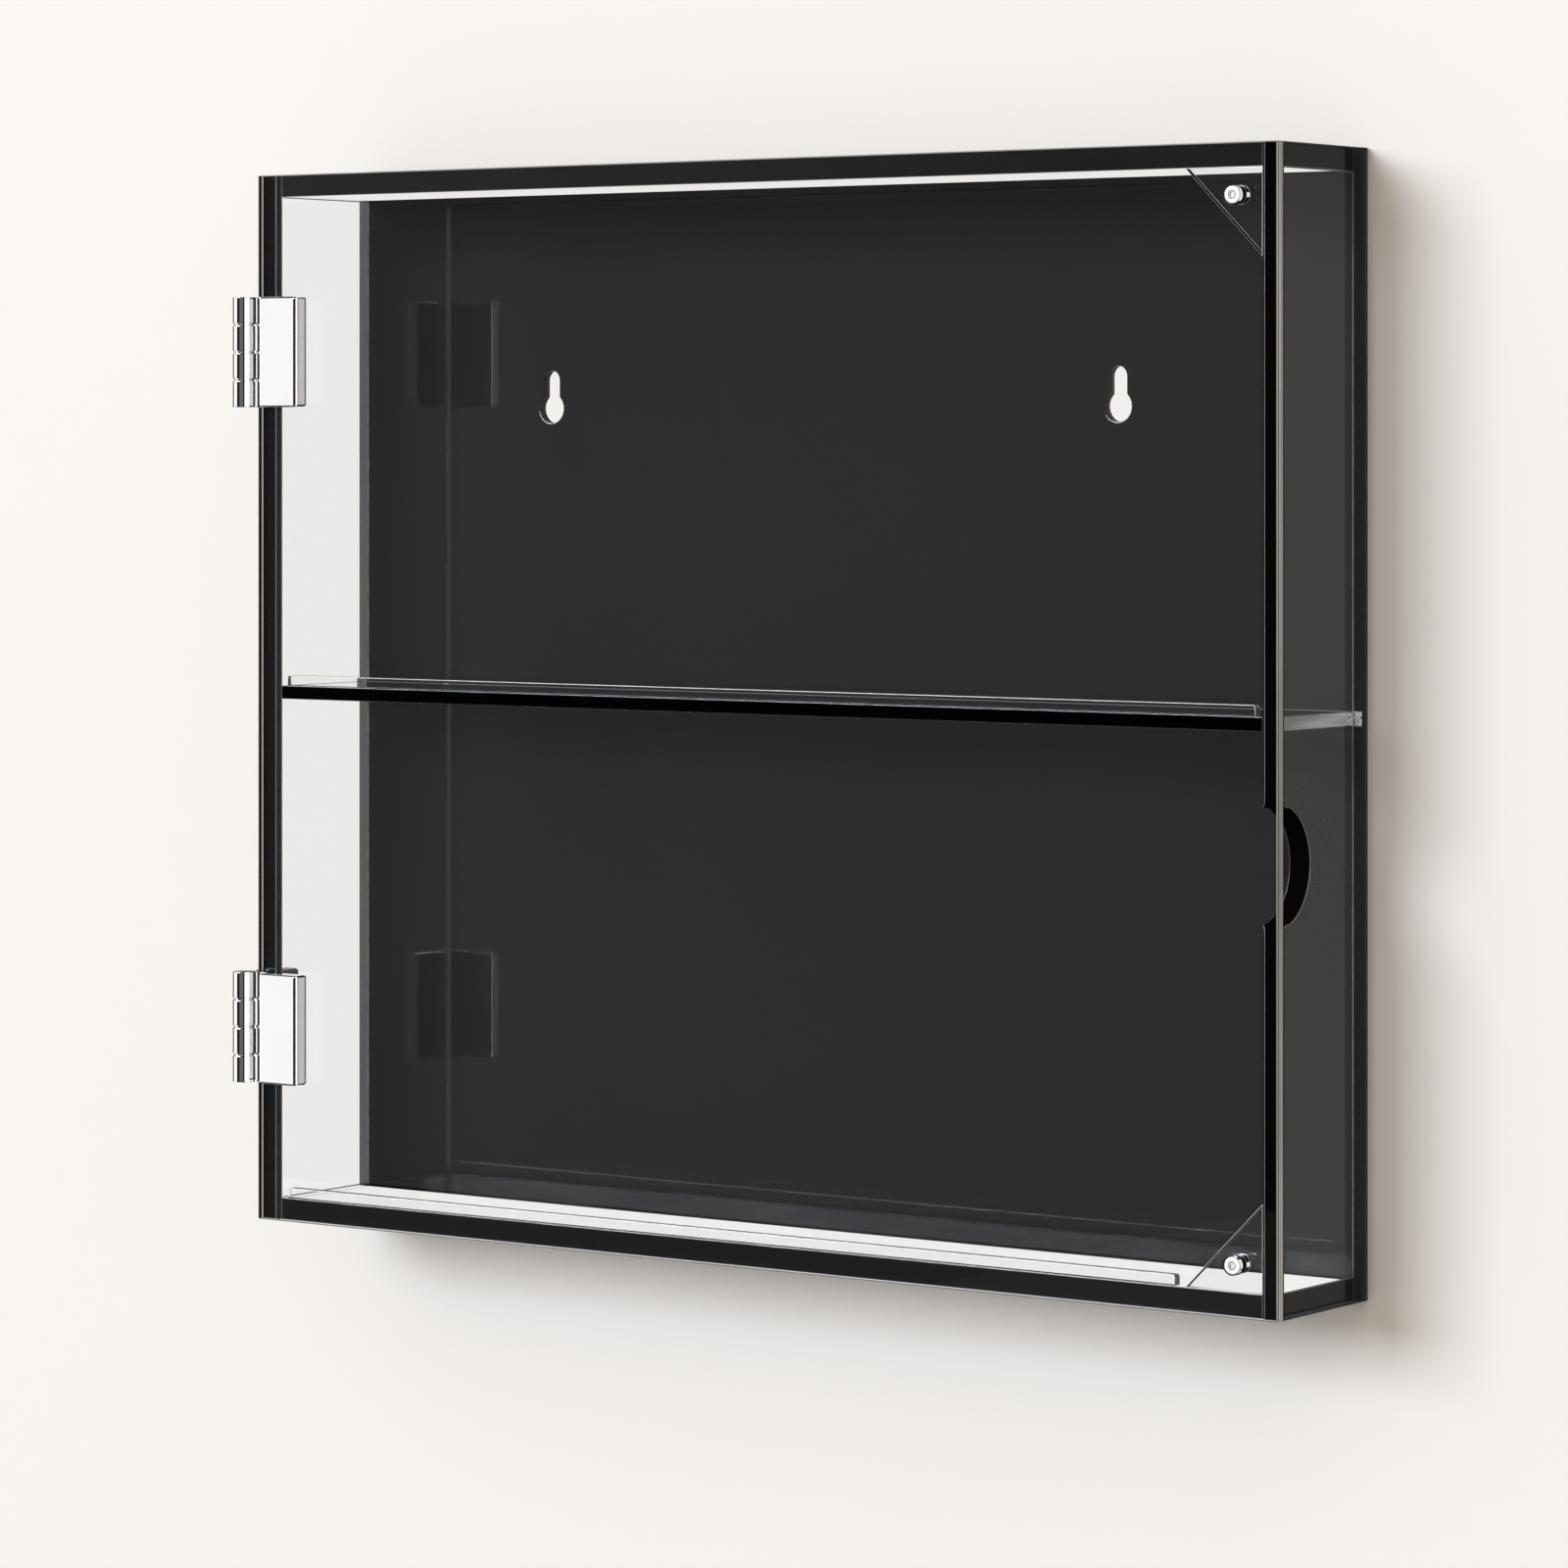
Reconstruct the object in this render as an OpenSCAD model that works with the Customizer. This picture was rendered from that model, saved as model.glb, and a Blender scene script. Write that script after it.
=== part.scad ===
// Wall display case for graded trading cards: a clear acrylic box with a black back,
// one shelf, a full-height clear door on two barrel hinges and two magnet catches.
// Millimetres. The origin is midway between the two keyhole entries, on the wall plane:
// +X right, +Z up, and the front of the case faces -Y.

/* [Case] */
// Outside width over the two side panels
case_w = 339.2; // [240:0.1:460]
// Outside height
case_h = 300; // [260:0.5:420]
// Depth of the side panels, from the back panel to the door
side_depth = 40; // [26:0.5:90]
// Sheet thickness of the side, top and bottom panels
wall_t = 6.2; // [4:0.1:9]
// Thickness of the black back panel
back_t = 3; // [2:0.1:6]
// Film of cement between two bonded sheets
bond_t = 0.05; // [0.02:0.01:0.1]
// Bevel on the inner front edge of the side panels
edge_bevel = 1.2; // [0.4:0.1:2]
// How far the top, bottom and shelf stand back from the side panels' front edges
front_setback = 1.2; // [0:0.1:3]

/* [Wall keyholes] */
// Distance between the two keyholes
keyhole_spacing = 191; // [100:0.5:210]
// Height of the case's top above the keyhole entries
keyhole_drop = 67; // [30:0.5:90]
// Diameter of the entry that passes a screw head
keyhole_entry_d = 8.5; // [7:0.1:12]
// Width of the slot that holds a screw shank
keyhole_slot_w = 5.6; // [4.4:0.1:6]
// Rise of the slot's end centre above the entry centre
keyhole_rise = 8; // [6:0.1:16]

/* [Shelf and card stops] */
// Thickness of the shelf
shelf_t = 3.8; // [3:0.1:6]
// Height of the shelf's middle above the underside of the case
shelf_z = 151.5; // [142:0.5:165]
// Height of the two card stops
stop_h = 2.9; // [2:0.1:8]
// Thickness of the card stops, front to back
stop_t = 2.6; // [2:0.1:5]
// Radius on the upper ends of the card stops
stop_r = 0.8; // [0.2:0.1:1.8]
// Space between a card stop's end and the side panel
stop_end_gap = 2.2; // [0.5:0.1:8]
// Space between the lower card stop and the corner gusset
stop_gusset_gap = 3.2; // [1:0.1:12]

/* [Corner gussets and catches] */
// Length of a gusset's two straight sides
gusset_leg = 23; // [20:0.5:40]
// Thickness of the gussets
gusset_t = 3; // [2:0.1:5]
// Distance of a catch's centre from the case's outer faces
catch_inset = 13.4; // [13:0.1:15]
// Diameter of the magnets and of the catch screw heads
magnet_d = 4.7; // [4:0.1:6]
// Radial clearance of a magnet or screw head in its hole
magnet_fit = 0.05; // [0.02:0.01:0.15]
// Thickness of a catch screw's head
screw_head_t = 0.9; // [0.6:0.1:1.2]
// Diameter of a catch screw's shank
screw_shank_d = 1.6; // [1.2:0.1:2]
// Radial clearance of the shank in the ring magnet
screw_fit = 0.05; // [0.02:0.01:0.2]
// Hexagon socket across its flats
socket_w = 1.5; // [1.2:0.1:2]
// Depth of the hexagon socket
socket_depth = 0.6; // [0.3:0.1:0.8]
// Chamfer around a screw head
screw_chamfer = 0.25; // [0.1:0.05:0.5]

/* [Door] */
// Thickness of the door
door_t = 3; // [2.5:0.1:5]
// Running gap between the closed door and the side panels
door_gap = 0.3; // [0.2:0.05:1]

/* [Finger notch] */
// Height of the notch's middle above the underside of the case
notch_z = 115.5; // [60:0.5:220]
// Height of the notch
notch_h = 29.6; // [24:0.2:31]
// Radius of the notch's arc
notch_r = 15.8; // [15.6:0.1:24]
// How far the arc's centre lies in front of the side panel's front edge
notch_ahead = 2.4; // [0:0.1:4]
// Radius where the notch runs out into the front edge
notch_lead_r = 2; // [0.5:0.1:3]

/* [Hinges] */
// Length of a hinge's barrel
hinge_h = 31.6; // [24:0.2:48]
// Distance of the upper hinge's middle below the top of the case
upper_hinge_inset = 50.8; // [30:0.2:80]
// Distance of the lower hinge's middle above the underside of the case
lower_hinge_inset = 55.4; // [30:0.2:80]
// Knuckles in one barrel
knuckle_count = 4; // [2:1:6]
// Outside diameter of the barrel
barrel_d = 6.8; // [5.4:0.1:7.2]
// Gap between two knuckles
knuckle_gap = 0.2; // [0.1:0.05:0.5]
// Chamfer on the ends of each knuckle
knuckle_chamfer = 0.5; // [0.1:0.05:0.8]
// Diameter of the hinge pin
pin_d = 2.5; // [2:0.1:3]
// Radial running clearance of the pin in the door's knuckles
pin_fit = 0.05; // [0.02:0.01:0.1]
// Chamfer on the ends of the pin
pin_chamfer = 0.3; // [0.1:0.05:0.5]
// Distance of the pin's axis from the faces that the leaves are bonded to
axis_offset = 2.75; // [2.7:0.05:4]
// Distance from the pin's axis to the near edge of a leaf
leaf_start = 7.25; // [5.5:0.05:9]
// Width of the leaf on the door
door_leaf_w = 13.9; // [8:0.1:24]
// Width of the leaf on the case
case_leaf_w = 11.4; // [8:0.1:16]
// Thickness of the leaves
leaf_t = 4.6; // [2.5:0.1:6]
// Chamfer on the leaves' outer upright edges
leaf_chamfer = 0.5; // [0.2:0.05:1]
// Thickness of the web between a knuckle and its leaf
web_t = 2.4; // [1.6:0.1:3]
// Thickness of the bonding pad under a leaf
pad_t = 0.4; // [0.3:0.05:1]
// How far the pad stops short of the leaf's edges
pad_inset = 0.4; // [0.2:0.1:2]

/* [Hidden] */
$fn = 96;

// Cutters run this far past the faces that they cut
past = 1;

CLEAR = [0.82, 0.88, 0.90, 0.35];
BLACK = [0.05, 0.05, 0.055];
CHROME = [0.82, 0.83, 0.85];
NICKEL = [0.74, 0.73, 0.70];
PAD = [0.20, 0.20, 0.21];

// Outer faces of the case
left_x = -case_w / 2;
right_x = case_w / 2;
top_z = keyhole_drop;
bottom_z = top_z - case_h;

// Planes from the wall forwards
panel_rear_y = -back_t - bond_t;
side_front_y = panel_rear_y - side_depth;
panel_front_y = side_front_y + front_setback;
door_rear_y = side_front_y - door_gap;
door_front_y = door_rear_y - door_t;

// Inner faces of the case
inner_left_x = left_x + wall_t;
inner_right_x = right_x - wall_t;
floor_z = bottom_z + wall_t;
ceiling_z = top_z - wall_t;
shelf_mid_z = bottom_z + shelf_z;
shelf_top_z = shelf_mid_z + shelf_t / 2;

// Catches in the two right-hand corners
catch_x = right_x - catch_inset;
upper_catch_z = top_z - catch_inset;
lower_catch_z = bottom_z + catch_inset;
magnet_hole_d = magnet_d + 2 * magnet_fit;

// Hinges, each measured from the lower end of its barrel
hinge_x = left_x - axis_offset;
hinge_y = door_front_y - axis_offset;
upper_hinge_z = top_z - upper_hinge_inset - hinge_h / 2;
lower_hinge_z = bottom_z + lower_hinge_inset - hinge_h / 2;
knuckle_h = (hinge_h - (knuckle_count - 1) * knuckle_gap) / knuckle_count;
knuckle_pitch = knuckle_h + knuckle_gap;
case_knuckles = [for (i = [1 : 2 : knuckle_count - 1]) i];
door_knuckles = [for (i = [0 : 2 : knuckle_count - 1]) i];

// A block between two corners
module block(low, high) {
    translate(low) cube(high - low);
}

// A cylinder lying along Y, from y0 back to y1, about a point in the XZ plane
module drill(x, z, d, y0, y1) {
    translate([x, y1, z]) rotate([90, 0, 0]) cylinder(d = d, h = y1 - y0);
}

// A turned pin or knuckle: a cylinder standing on its end with a chamfer at both ends
module turned(d, h, chamfer) {
    r = d / 2;
    rotate_extrude()
        polygon([
            [0, 0], [r - chamfer, 0], [r, chamfer],
            [r, h - chamfer], [r - chamfer, h], [0, h]
        ]);
}

// ---- Back panel ----

// Cutter for one keyhole: a round entry with a narrower slot that rises from it
module keyhole(x) {
    front_y = -back_t - past;
    drill(x, 0, keyhole_entry_d, front_y, past);
    drill(x, keyhole_rise, keyhole_slot_w, front_y, past);
    block([x - keyhole_slot_w / 2, front_y, 0], [x + keyhole_slot_w / 2, past, keyhole_rise]);
}

module back_panel() {
    color(BLACK)
        difference() {
            block([left_x, -back_t, bottom_z], [right_x, 0, top_z]);
            for (side = [-1, 1]) keyhole(side * keyhole_spacing / 2);
        }
}

// ---- Box panels ----

// Upright side panel drawn for the right side: its inner front edge is bevelled
module side_panel_blank() {
    translate([0, 0, bottom_z])
        linear_extrude(case_h)
            polygon([
                [inner_right_x, panel_rear_y],
                [inner_right_x, side_front_y + edge_bevel],
                [inner_right_x + edge_bevel, side_front_y],
                [right_x, side_front_y],
                [right_x, panel_rear_y]
            ]);
}

module left_side_panel() {
    color(CLEAR) mirror([1, 0, 0]) side_panel_blank();
}

// Cutter that rounds one corner of the notch into the front edge: side is 1 above, -1 below
module notch_lead(side) {
    edge_z = bottom_z + notch_z + side * notch_h / 2;
    low_z = min(edge_z, edge_z + side * notch_lead_r);
    difference() {
        block(
            [inner_right_x - past, side_front_y - past, low_z],
            [right_x + past, side_front_y + notch_lead_r, low_z + notch_lead_r]
        );
        translate([
            inner_right_x - 2 * past,
            side_front_y + notch_lead_r,
            edge_z + side * notch_lead_r
        ])
            rotate([0, 90, 0]) cylinder(r = notch_lead_r, h = wall_t + 4 * past);
    }
}

// Cutter for the finger notch: a round bite, cut level at its top and bottom
module finger_notch() {
    mid_z = bottom_z + notch_z;
    intersection() {
        translate([inner_right_x - past, side_front_y - notch_ahead, mid_z])
            rotate([0, 90, 0]) cylinder(r = notch_r, h = wall_t + 2 * past);
        block(
            [inner_right_x - 2 * past, side_front_y - past, mid_z - notch_h / 2],
            [right_x + 2 * past, side_front_y + notch_r, mid_z + notch_h / 2]
        );
    }
    for (side = [-1, 1]) notch_lead(side);
}

module right_side_panel() {
    color(CLEAR)
        difference() {
            side_panel_blank();
            finger_notch();
        }
}

// Level panel between the side panels, from its lower to its upper face
module level_panel(low_z, high_z) {
    block(
        [inner_left_x + bond_t, panel_front_y, low_z],
        [inner_right_x - bond_t, panel_rear_y, high_z]
    );
}

module top_panel() {
    color(CLEAR) level_panel(ceiling_z, top_z);
}

module bottom_panel() {
    color(CLEAR) level_panel(bottom_z, floor_z);
}

module shelf() {
    color(CLEAR) level_panel(shelf_mid_z - shelf_t / 2, shelf_top_z);
}

// ---- Card stops ----

// Low bar along a panel's front edge, with rounded upper ends
module card_stop(x0, x1, deck_z) {
    z0 = deck_z + bond_t;
    z1 = z0 + stop_h;
    y0 = panel_front_y;
    y1 = panel_front_y + stop_t;
    block([x0, y0, z0], [x1, y1, z1 - stop_r]);
    block([x0 + stop_r, y0, z0], [x1 - stop_r, y1, z1]);
    for (x = [x0 + stop_r, x1 - stop_r]) drill(x, z1 - stop_r, 2 * stop_r, y0, y1);
}

module shelf_card_stop() {
    color(CLEAR) card_stop(inner_left_x + stop_end_gap, inner_right_x - stop_end_gap, shelf_top_z);
}

module bottom_card_stop() {
    color(CLEAR)
        card_stop(
            inner_left_x + stop_end_gap,
            inner_right_x - bond_t - gusset_leg - stop_gusset_gap,
            floor_z
        );
}

// ---- Corner gussets and magnets of the case ----

// Right triangle in a right-hand corner: side is 1 under the top panel, -1 over the bottom one
module gusset(side, deck_z, catch_z) {
    corner_x = inner_right_x - bond_t;
    corner_z = deck_z - side * bond_t;
    difference() {
        translate([0, panel_front_y + gusset_t, 0])
            rotate([90, 0, 0])
                linear_extrude(gusset_t)
                    polygon([
                        [corner_x, corner_z],
                        [corner_x - gusset_leg, corner_z],
                        [corner_x, corner_z - side * gusset_leg]
                    ]);
        drill(
            catch_x, catch_z, magnet_hole_d,
            panel_front_y - past, panel_front_y + gusset_t + past
        );
    }
}

module upper_gusset() {
    color(CLEAR) gusset(1, ceiling_z, upper_catch_z);
}

module lower_gusset() {
    color(CLEAR) gusset(-1, floor_z, lower_catch_z);
}

// Disc magnet that fills a gusset's hole
module case_magnet(catch_z) {
    color(NICKEL) drill(catch_x, catch_z, magnet_d, panel_front_y, panel_front_y + gusset_t);
}

module upper_case_magnet() {
    case_magnet(upper_catch_z);
}

module lower_case_magnet() {
    case_magnet(lower_catch_z);
}

// ---- Hinges ----

// One leaf with its knuckles, in the hinge's own frame: the pin stands on the origin,
// the leaf reaches along +X and is bonded to a face at y = axis_offset
module hinge_leaf(leaf_w, knuckles, bore_d) {
    back_y = axis_offset - pad_t;
    front_y = back_y - leaf_t;
    end_x = leaf_start + leaf_w;
    difference() {
        union() {
            linear_extrude(hinge_h)
                polygon([
                    [leaf_start, back_y],
                    [leaf_start, front_y + leaf_chamfer],
                    [leaf_start + leaf_chamfer, front_y],
                    [end_x - leaf_chamfer, front_y],
                    [end_x, front_y + leaf_chamfer],
                    [end_x, back_y]
                ]);
            for (i = knuckles)
                translate([0, 0, i * knuckle_pitch]) {
                    turned(barrel_d, knuckle_h, knuckle_chamfer);
                    block(
                        [0, -web_t / 2, knuckle_chamfer],
                        [leaf_start + leaf_chamfer, web_t / 2, knuckle_h - knuckle_chamfer]
                    );
                }
        }
        translate([0, 0, -past]) cylinder(d = bore_d, h = hinge_h + 2 * past);
    }
}

// Bonding pad between a leaf and its panel, in the same frame
module leaf_pad(leaf_w) {
    block(
        [leaf_start + pad_inset, axis_offset - pad_t + bond_t, pad_inset],
        [leaf_start + leaf_w - pad_inset, axis_offset - bond_t, hinge_h - pad_inset]
    );
}

// Places what is drawn in the hinge's frame on the door
module on_door(z) {
    translate([hinge_x, hinge_y, z]) children();
}

// Places it on the left side panel: the leaf reaches along +Y, against the outer face
module on_case(z) {
    translate([hinge_x, hinge_y, z]) mirror([1, -1, 0]) children();
}

// The pins are pressed into the case's knuckles
module upper_case_leaf() {
    color(CHROME) on_case(upper_hinge_z) hinge_leaf(case_leaf_w, case_knuckles, pin_d);
}

module lower_case_leaf() {
    color(CHROME) on_case(lower_hinge_z) hinge_leaf(case_leaf_w, case_knuckles, pin_d);
}

module upper_case_leaf_pad() {
    color(PAD) on_case(upper_hinge_z) leaf_pad(case_leaf_w);
}

module lower_case_leaf_pad() {
    color(PAD) on_case(lower_hinge_z) leaf_pad(case_leaf_w);
}

module upper_hinge_pin() {
    color(CHROME) on_door(upper_hinge_z) turned(pin_d, hinge_h, pin_chamfer);
}

module lower_hinge_pin() {
    color(CHROME) on_door(lower_hinge_z) turned(pin_d, hinge_h, pin_chamfer);
}

// The door's knuckles turn on the pins
module upper_door_leaf() {
    color(CHROME)
        on_door(upper_hinge_z) hinge_leaf(door_leaf_w, door_knuckles, pin_d + 2 * pin_fit);
}

module lower_door_leaf() {
    color(CHROME)
        on_door(lower_hinge_z) hinge_leaf(door_leaf_w, door_knuckles, pin_d + 2 * pin_fit);
}

module upper_door_leaf_pad() {
    color(PAD) on_door(upper_hinge_z) leaf_pad(door_leaf_w);
}

module lower_door_leaf_pad() {
    color(PAD) on_door(lower_hinge_z) leaf_pad(door_leaf_w);
}

// ---- Door ----

module door_panel() {
    color(CLEAR)
        difference() {
            block([left_x, door_front_y, bottom_z], [right_x, door_rear_y, top_z]);
            for (z = [lower_catch_z, upper_catch_z])
                drill(catch_x, z, magnet_hole_d, door_front_y - past, door_rear_y + past);
        }
}

// Ring magnet behind a screw head, flush with the back of the door
module door_magnet(catch_z) {
    front_y = door_front_y + screw_head_t;
    color(NICKEL)
        difference() {
            drill(catch_x, catch_z, magnet_d, front_y, door_rear_y);
            drill(
                catch_x, catch_z, screw_shank_d + 2 * screw_fit,
                front_y - past, door_rear_y + past
            );
        }
}

module upper_door_magnet() {
    door_magnet(upper_catch_z);
}

module lower_door_magnet() {
    door_magnet(lower_catch_z);
}

// Flat socket screw through a ring magnet, its head flush with the front of the door
module catch_screw(catch_z) {
    r = magnet_d / 2;
    translate([catch_x, door_front_y, catch_z])
        rotate([-90, 0, 0])
            difference() {
                rotate_extrude()
                    polygon([
                        [0, 0], [r - screw_chamfer, 0], [r, screw_chamfer],
                        [r, screw_head_t], [screw_shank_d / 2, screw_head_t],
                        [screw_shank_d / 2, door_t], [0, door_t]
                    ]);
                translate([0, 0, -past])
                    cylinder(d = socket_w / cos(30), h = socket_depth + past, $fn = 6);
            }
}

module catch_screws() {
    color(NICKEL)
        for (z = [lower_catch_z, upper_catch_z]) catch_screw(z);
}

back_panel();
left_side_panel();
right_side_panel();
top_panel();
bottom_panel();
shelf();
shelf_card_stop();
bottom_card_stop();
upper_gusset();
lower_gusset();
upper_case_magnet();
lower_case_magnet();
upper_case_leaf();
lower_case_leaf();
upper_case_leaf_pad();
lower_case_leaf_pad();
upper_hinge_pin();
lower_hinge_pin();
door_panel();
upper_door_leaf();
lower_door_leaf();
upper_door_leaf_pad();
lower_door_leaf_pad();
upper_door_magnet();
lower_door_magnet();
catch_screws();
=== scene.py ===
"""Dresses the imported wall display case: clear acrylic box, black back, door, hinges, catches.

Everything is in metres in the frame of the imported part: +X right, +Z up, the door faces -Y
and the back of the case lies on the wall plane, y = 0.
"""

import logging
import math
from collections.abc import Callable, Sequence
from dataclasses import dataclass, field
from enum import Enum, IntEnum
from typing import Protocol

import bmesh
import bpy
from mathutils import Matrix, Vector

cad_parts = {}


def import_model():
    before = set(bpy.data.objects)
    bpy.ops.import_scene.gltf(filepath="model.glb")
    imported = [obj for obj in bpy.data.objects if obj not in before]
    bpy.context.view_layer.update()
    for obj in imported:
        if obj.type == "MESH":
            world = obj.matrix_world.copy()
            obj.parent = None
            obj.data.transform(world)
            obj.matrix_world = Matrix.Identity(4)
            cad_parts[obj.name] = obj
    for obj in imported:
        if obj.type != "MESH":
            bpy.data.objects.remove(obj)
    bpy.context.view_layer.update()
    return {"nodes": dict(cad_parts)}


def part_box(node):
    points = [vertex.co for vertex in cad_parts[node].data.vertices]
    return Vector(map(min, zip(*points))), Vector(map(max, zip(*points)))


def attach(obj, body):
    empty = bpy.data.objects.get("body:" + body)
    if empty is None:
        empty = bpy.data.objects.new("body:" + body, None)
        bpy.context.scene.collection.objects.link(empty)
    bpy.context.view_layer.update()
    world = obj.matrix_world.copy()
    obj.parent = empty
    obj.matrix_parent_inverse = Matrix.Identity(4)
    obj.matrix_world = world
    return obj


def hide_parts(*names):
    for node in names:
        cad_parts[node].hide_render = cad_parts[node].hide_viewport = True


MM = 0.001
# Places of the keyholes: from the middle of the case, and below its top
KEYHOLE_AWAY = 95.5 * MM
KEYHOLE_BELOW_TOP = 64.0 * MM
# Refractive index of acrylic
ACRYLIC_INDEX = 1.49
# Edges that turn by more than this many degrees are rounded
SHARP_TURN = 32.0
LOG = logging.getLogger("display_case")

Colour = tuple[float, float, float]


class Body(Enum):
    """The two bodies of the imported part."""

    CASE = "case"
    DOOR = "door"


class Slot(Enum):
    """The record's material slots."""

    CLEAR = "clear_acrylic"
    BLACK = "black_acrylic"
    CHROME = "hinge_chrome"
    NICKEL = "magnet_nickel"
    PAD = "bonding_pad"


class Side(IntEnum):
    """The finish slots of a sheet of the box, after slot 0 for its two faces."""

    REAR_EDGE = 1
    FRONT_EDGE = 2
    CORNER_LINE = 3
    END = 4


class Way(Enum):
    """The ways that the edges of the box's sheets look."""

    FRONT = (0.0, -1.0, 0.0)
    REAR = (0.0, 1.0, 0.0)
    RIGHT = (1.0, 0.0, 0.0)

    def meets(self, normal: Vector, least: float = 0.98) -> bool:
        """True if a face with this normal looks this way."""
        return normal.dot(Vector(self.value)) > least


# ---------------------------------------------------------------- node trees


class Tree:
    """A node tree under construction."""

    def __init__(self, owner: bpy.types.Material | bpy.types.World) -> None:
        """Clears the owner's tree and keeps it.

        Args:
            owner: the material or world whose nodes are built.
        """
        owner.use_nodes = True
        self.nodes = owner.node_tree.nodes
        self.links = owner.node_tree.links
        self.nodes.clear()

    def add(self, kind: str, inputs: dict | None = None, **settings: object) -> bpy.types.Node:
        """Adds a node.

        Args:
            kind: the node's type without its ShaderNode prefix.
            inputs: what each named or numbered input gets: a value, or an output to link.
            **settings: properties of the node itself.

        Returns:
            The new node.
        """
        node = self.nodes.new("ShaderNode" + kind)
        for name, value in settings.items():
            setattr(node, name, value)
        for key, value in (inputs or {}).items():
            if isinstance(value, bpy.types.NodeSocket):
                self.links.new(value, node.inputs[key])
            else:
                node.inputs[key].default_value = value
        return node

    def maths(self, operation: str, *values: object, clamp: bool = False) -> bpy.types.NodeSocket:
        """Adds a Math node and returns its output.

        Args:
            operation: the node's operation.
            *values: numbers or outputs, in the order of the inputs.
            clamp: whether the result is held between 0 and 1.

        Returns:
            The node's output socket.
        """
        node = self.add("Math", dict(enumerate(values)), operation=operation, use_clamp=clamp)
        return node.outputs[0]

    def place(self, axis: str) -> bpy.types.NodeSocket:
        """Returns one of the object's own coordinates, in metres."""
        return self.add("SeparateXYZ", {"Vector": self.add("TexCoord").outputs["Object"]}).outputs[axis]

    def noise(
        self, scale: float, detail: float = 2.0, stretch: Colour = (1, 1, 1)
    ) -> bpy.types.NodeSocket:
        """Adds noise in the object's own coordinates.

        Args:
            scale: waves per metre.
            detail: octaves.
            stretch: a factor on each axis of the coordinates.

        Returns:
            The noise's output, from 0 to 1.
        """
        place = self.add("TexCoord").outputs["Object"]
        mapped = self.add("Mapping", {"Vector": place, "Scale": stretch})
        found = self.add("TexNoise", {"Vector": mapped.outputs[0], "Scale": scale, "Detail": detail})
        return found.outputs["Fac"]

    def spread(
        self,
        value: bpy.types.NodeSocket,
        low: float,
        high: float,
        given: tuple[float, float] = (0.0, 1.0),
    ) -> bpy.types.NodeSocket:
        """Maps a value onto a range and holds it there.

        Args:
            value: the output to map.
            low: what the lower end of the given range becomes.
            high: what its upper end becomes.
            given: the range that the value runs through.

        Returns:
            The mapped output.
        """
        ends = {"From Min": given[0], "From Max": given[1], "To Min": low, "To Max": high}
        return self.add("MapRange", {"Value": value, **ends}).outputs[0]

    def blend(self, factor: object, first: object, second: object) -> bpy.types.NodeSocket:
        """Mixes two shaders.

        Args:
            factor: the share of the second shader, a number or an output.
            first: the first shader's output.
            second: the second shader's output.

        Returns:
            The mixed shader's output.
        """
        return self.add("MixShader", {0: factor, 1: first, 2: second}).outputs[0]

    def tint(self, factor: object, first: object, second: object) -> bpy.types.NodeSocket:
        """Mixes two colours.

        Args:
            factor: the share of the second colour, a number or an output.
            first: the first colour, or the output that gives it.
            second: the second colour, or the output that gives it.

        Returns:
            The mixed colour's output.
        """
        node = self.add("Mix", {0: factor}, data_type="RGBA")
        for socket, colour in zip((node.inputs[6], node.inputs[7]), (first, second), strict=True):
            if isinstance(colour, bpy.types.NodeSocket):
                self.links.new(colour, socket)
            else:
                socket.default_value = (*colour, 1.0)
        return node.outputs[2]

    def shades(
        self, factor: bpy.types.NodeSocket, level: float, low: float, high: float
    ) -> bpy.types.NodeSocket:
        """Varies a grey.

        Args:
            factor: what it varies with, from 0 to 1.
            level: the grey's level.
            low: the share of that level where the factor is 0.
            high: its share where the factor is 1.

        Returns:
            The colour's output.
        """
        return self.tint(factor, grey(level * low), grey(min(level * high, 1.0)))

    def bump(
        self, height: bpy.types.NodeSocket, depth: float, strength: float = 1.0
    ) -> bpy.types.NodeSocket:
        """Turns a height into a normal, with the depth in metres."""
        node = self.add("Bump", {"Height": height, "Distance": depth, "Strength": strength})
        return node.outputs[0]

    def let_light_by(self, surface: bpy.types.NodeSocket, shade: float) -> bpy.types.NodeSocket:
        """Lets lamps and scattered light straight through a clear surface.

        Args:
            surface: the surface that the eye sees.
            shade: what is left of the light after one face.

        Returns:
            The surface with its light let by.
        """
        path = self.add("LightPath").outputs
        lamp = self.maths("MAXIMUM", path["Is Shadow Ray"], path["Is Diffuse Ray"])
        passed = self.add("BsdfTransparent", {"Color": (shade, shade, shade, 1)})
        return self.blend(lamp, surface, passed.outputs[0])

    def finish(self, surface: bpy.types.NodeSocket, world: bool = False) -> None:
        """Joins the surface or background to the output."""
        kind = "OutputWorld" if world else "OutputMaterial"
        self.links.new(surface, self.add(kind).inputs["Surface"])


def fill_ramp(ramp: bpy.types.ColorRamp, stops: Sequence[tuple[float, float]]) -> None:
    """Fills a grey ramp.

    Args:
        ramp: the ramp.
        stops: each stop's place from 0 to 1, and its level.
    """
    for place, _ in stops[2:]:
        ramp.elements.new(place)
    for element, (place, level) in zip(ramp.elements, stops, strict=True):
        element.position = place
        element.color = (level, level, level, 1)


def new_tree(name: str) -> tuple[bpy.types.Material, Tree]:
    """Makes an empty material and its tree.

    Args:
        name: the material's name.

    Returns:
        The material and its tree.
    """
    material = bpy.data.materials.new(name)
    return material, Tree(material)


# ------------------------------------------------------------------ finishes


class Finish(Protocol):
    """What all finishes have in common: a name, and a material made of nodes."""

    @property
    def name(self) -> str:
        """The material's name."""

    def make(self) -> bpy.types.Material:
        """Builds the material."""


def grey(level: float) -> Colour:
    """Returns a neutral colour of a level."""
    return (level, level, level)


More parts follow.
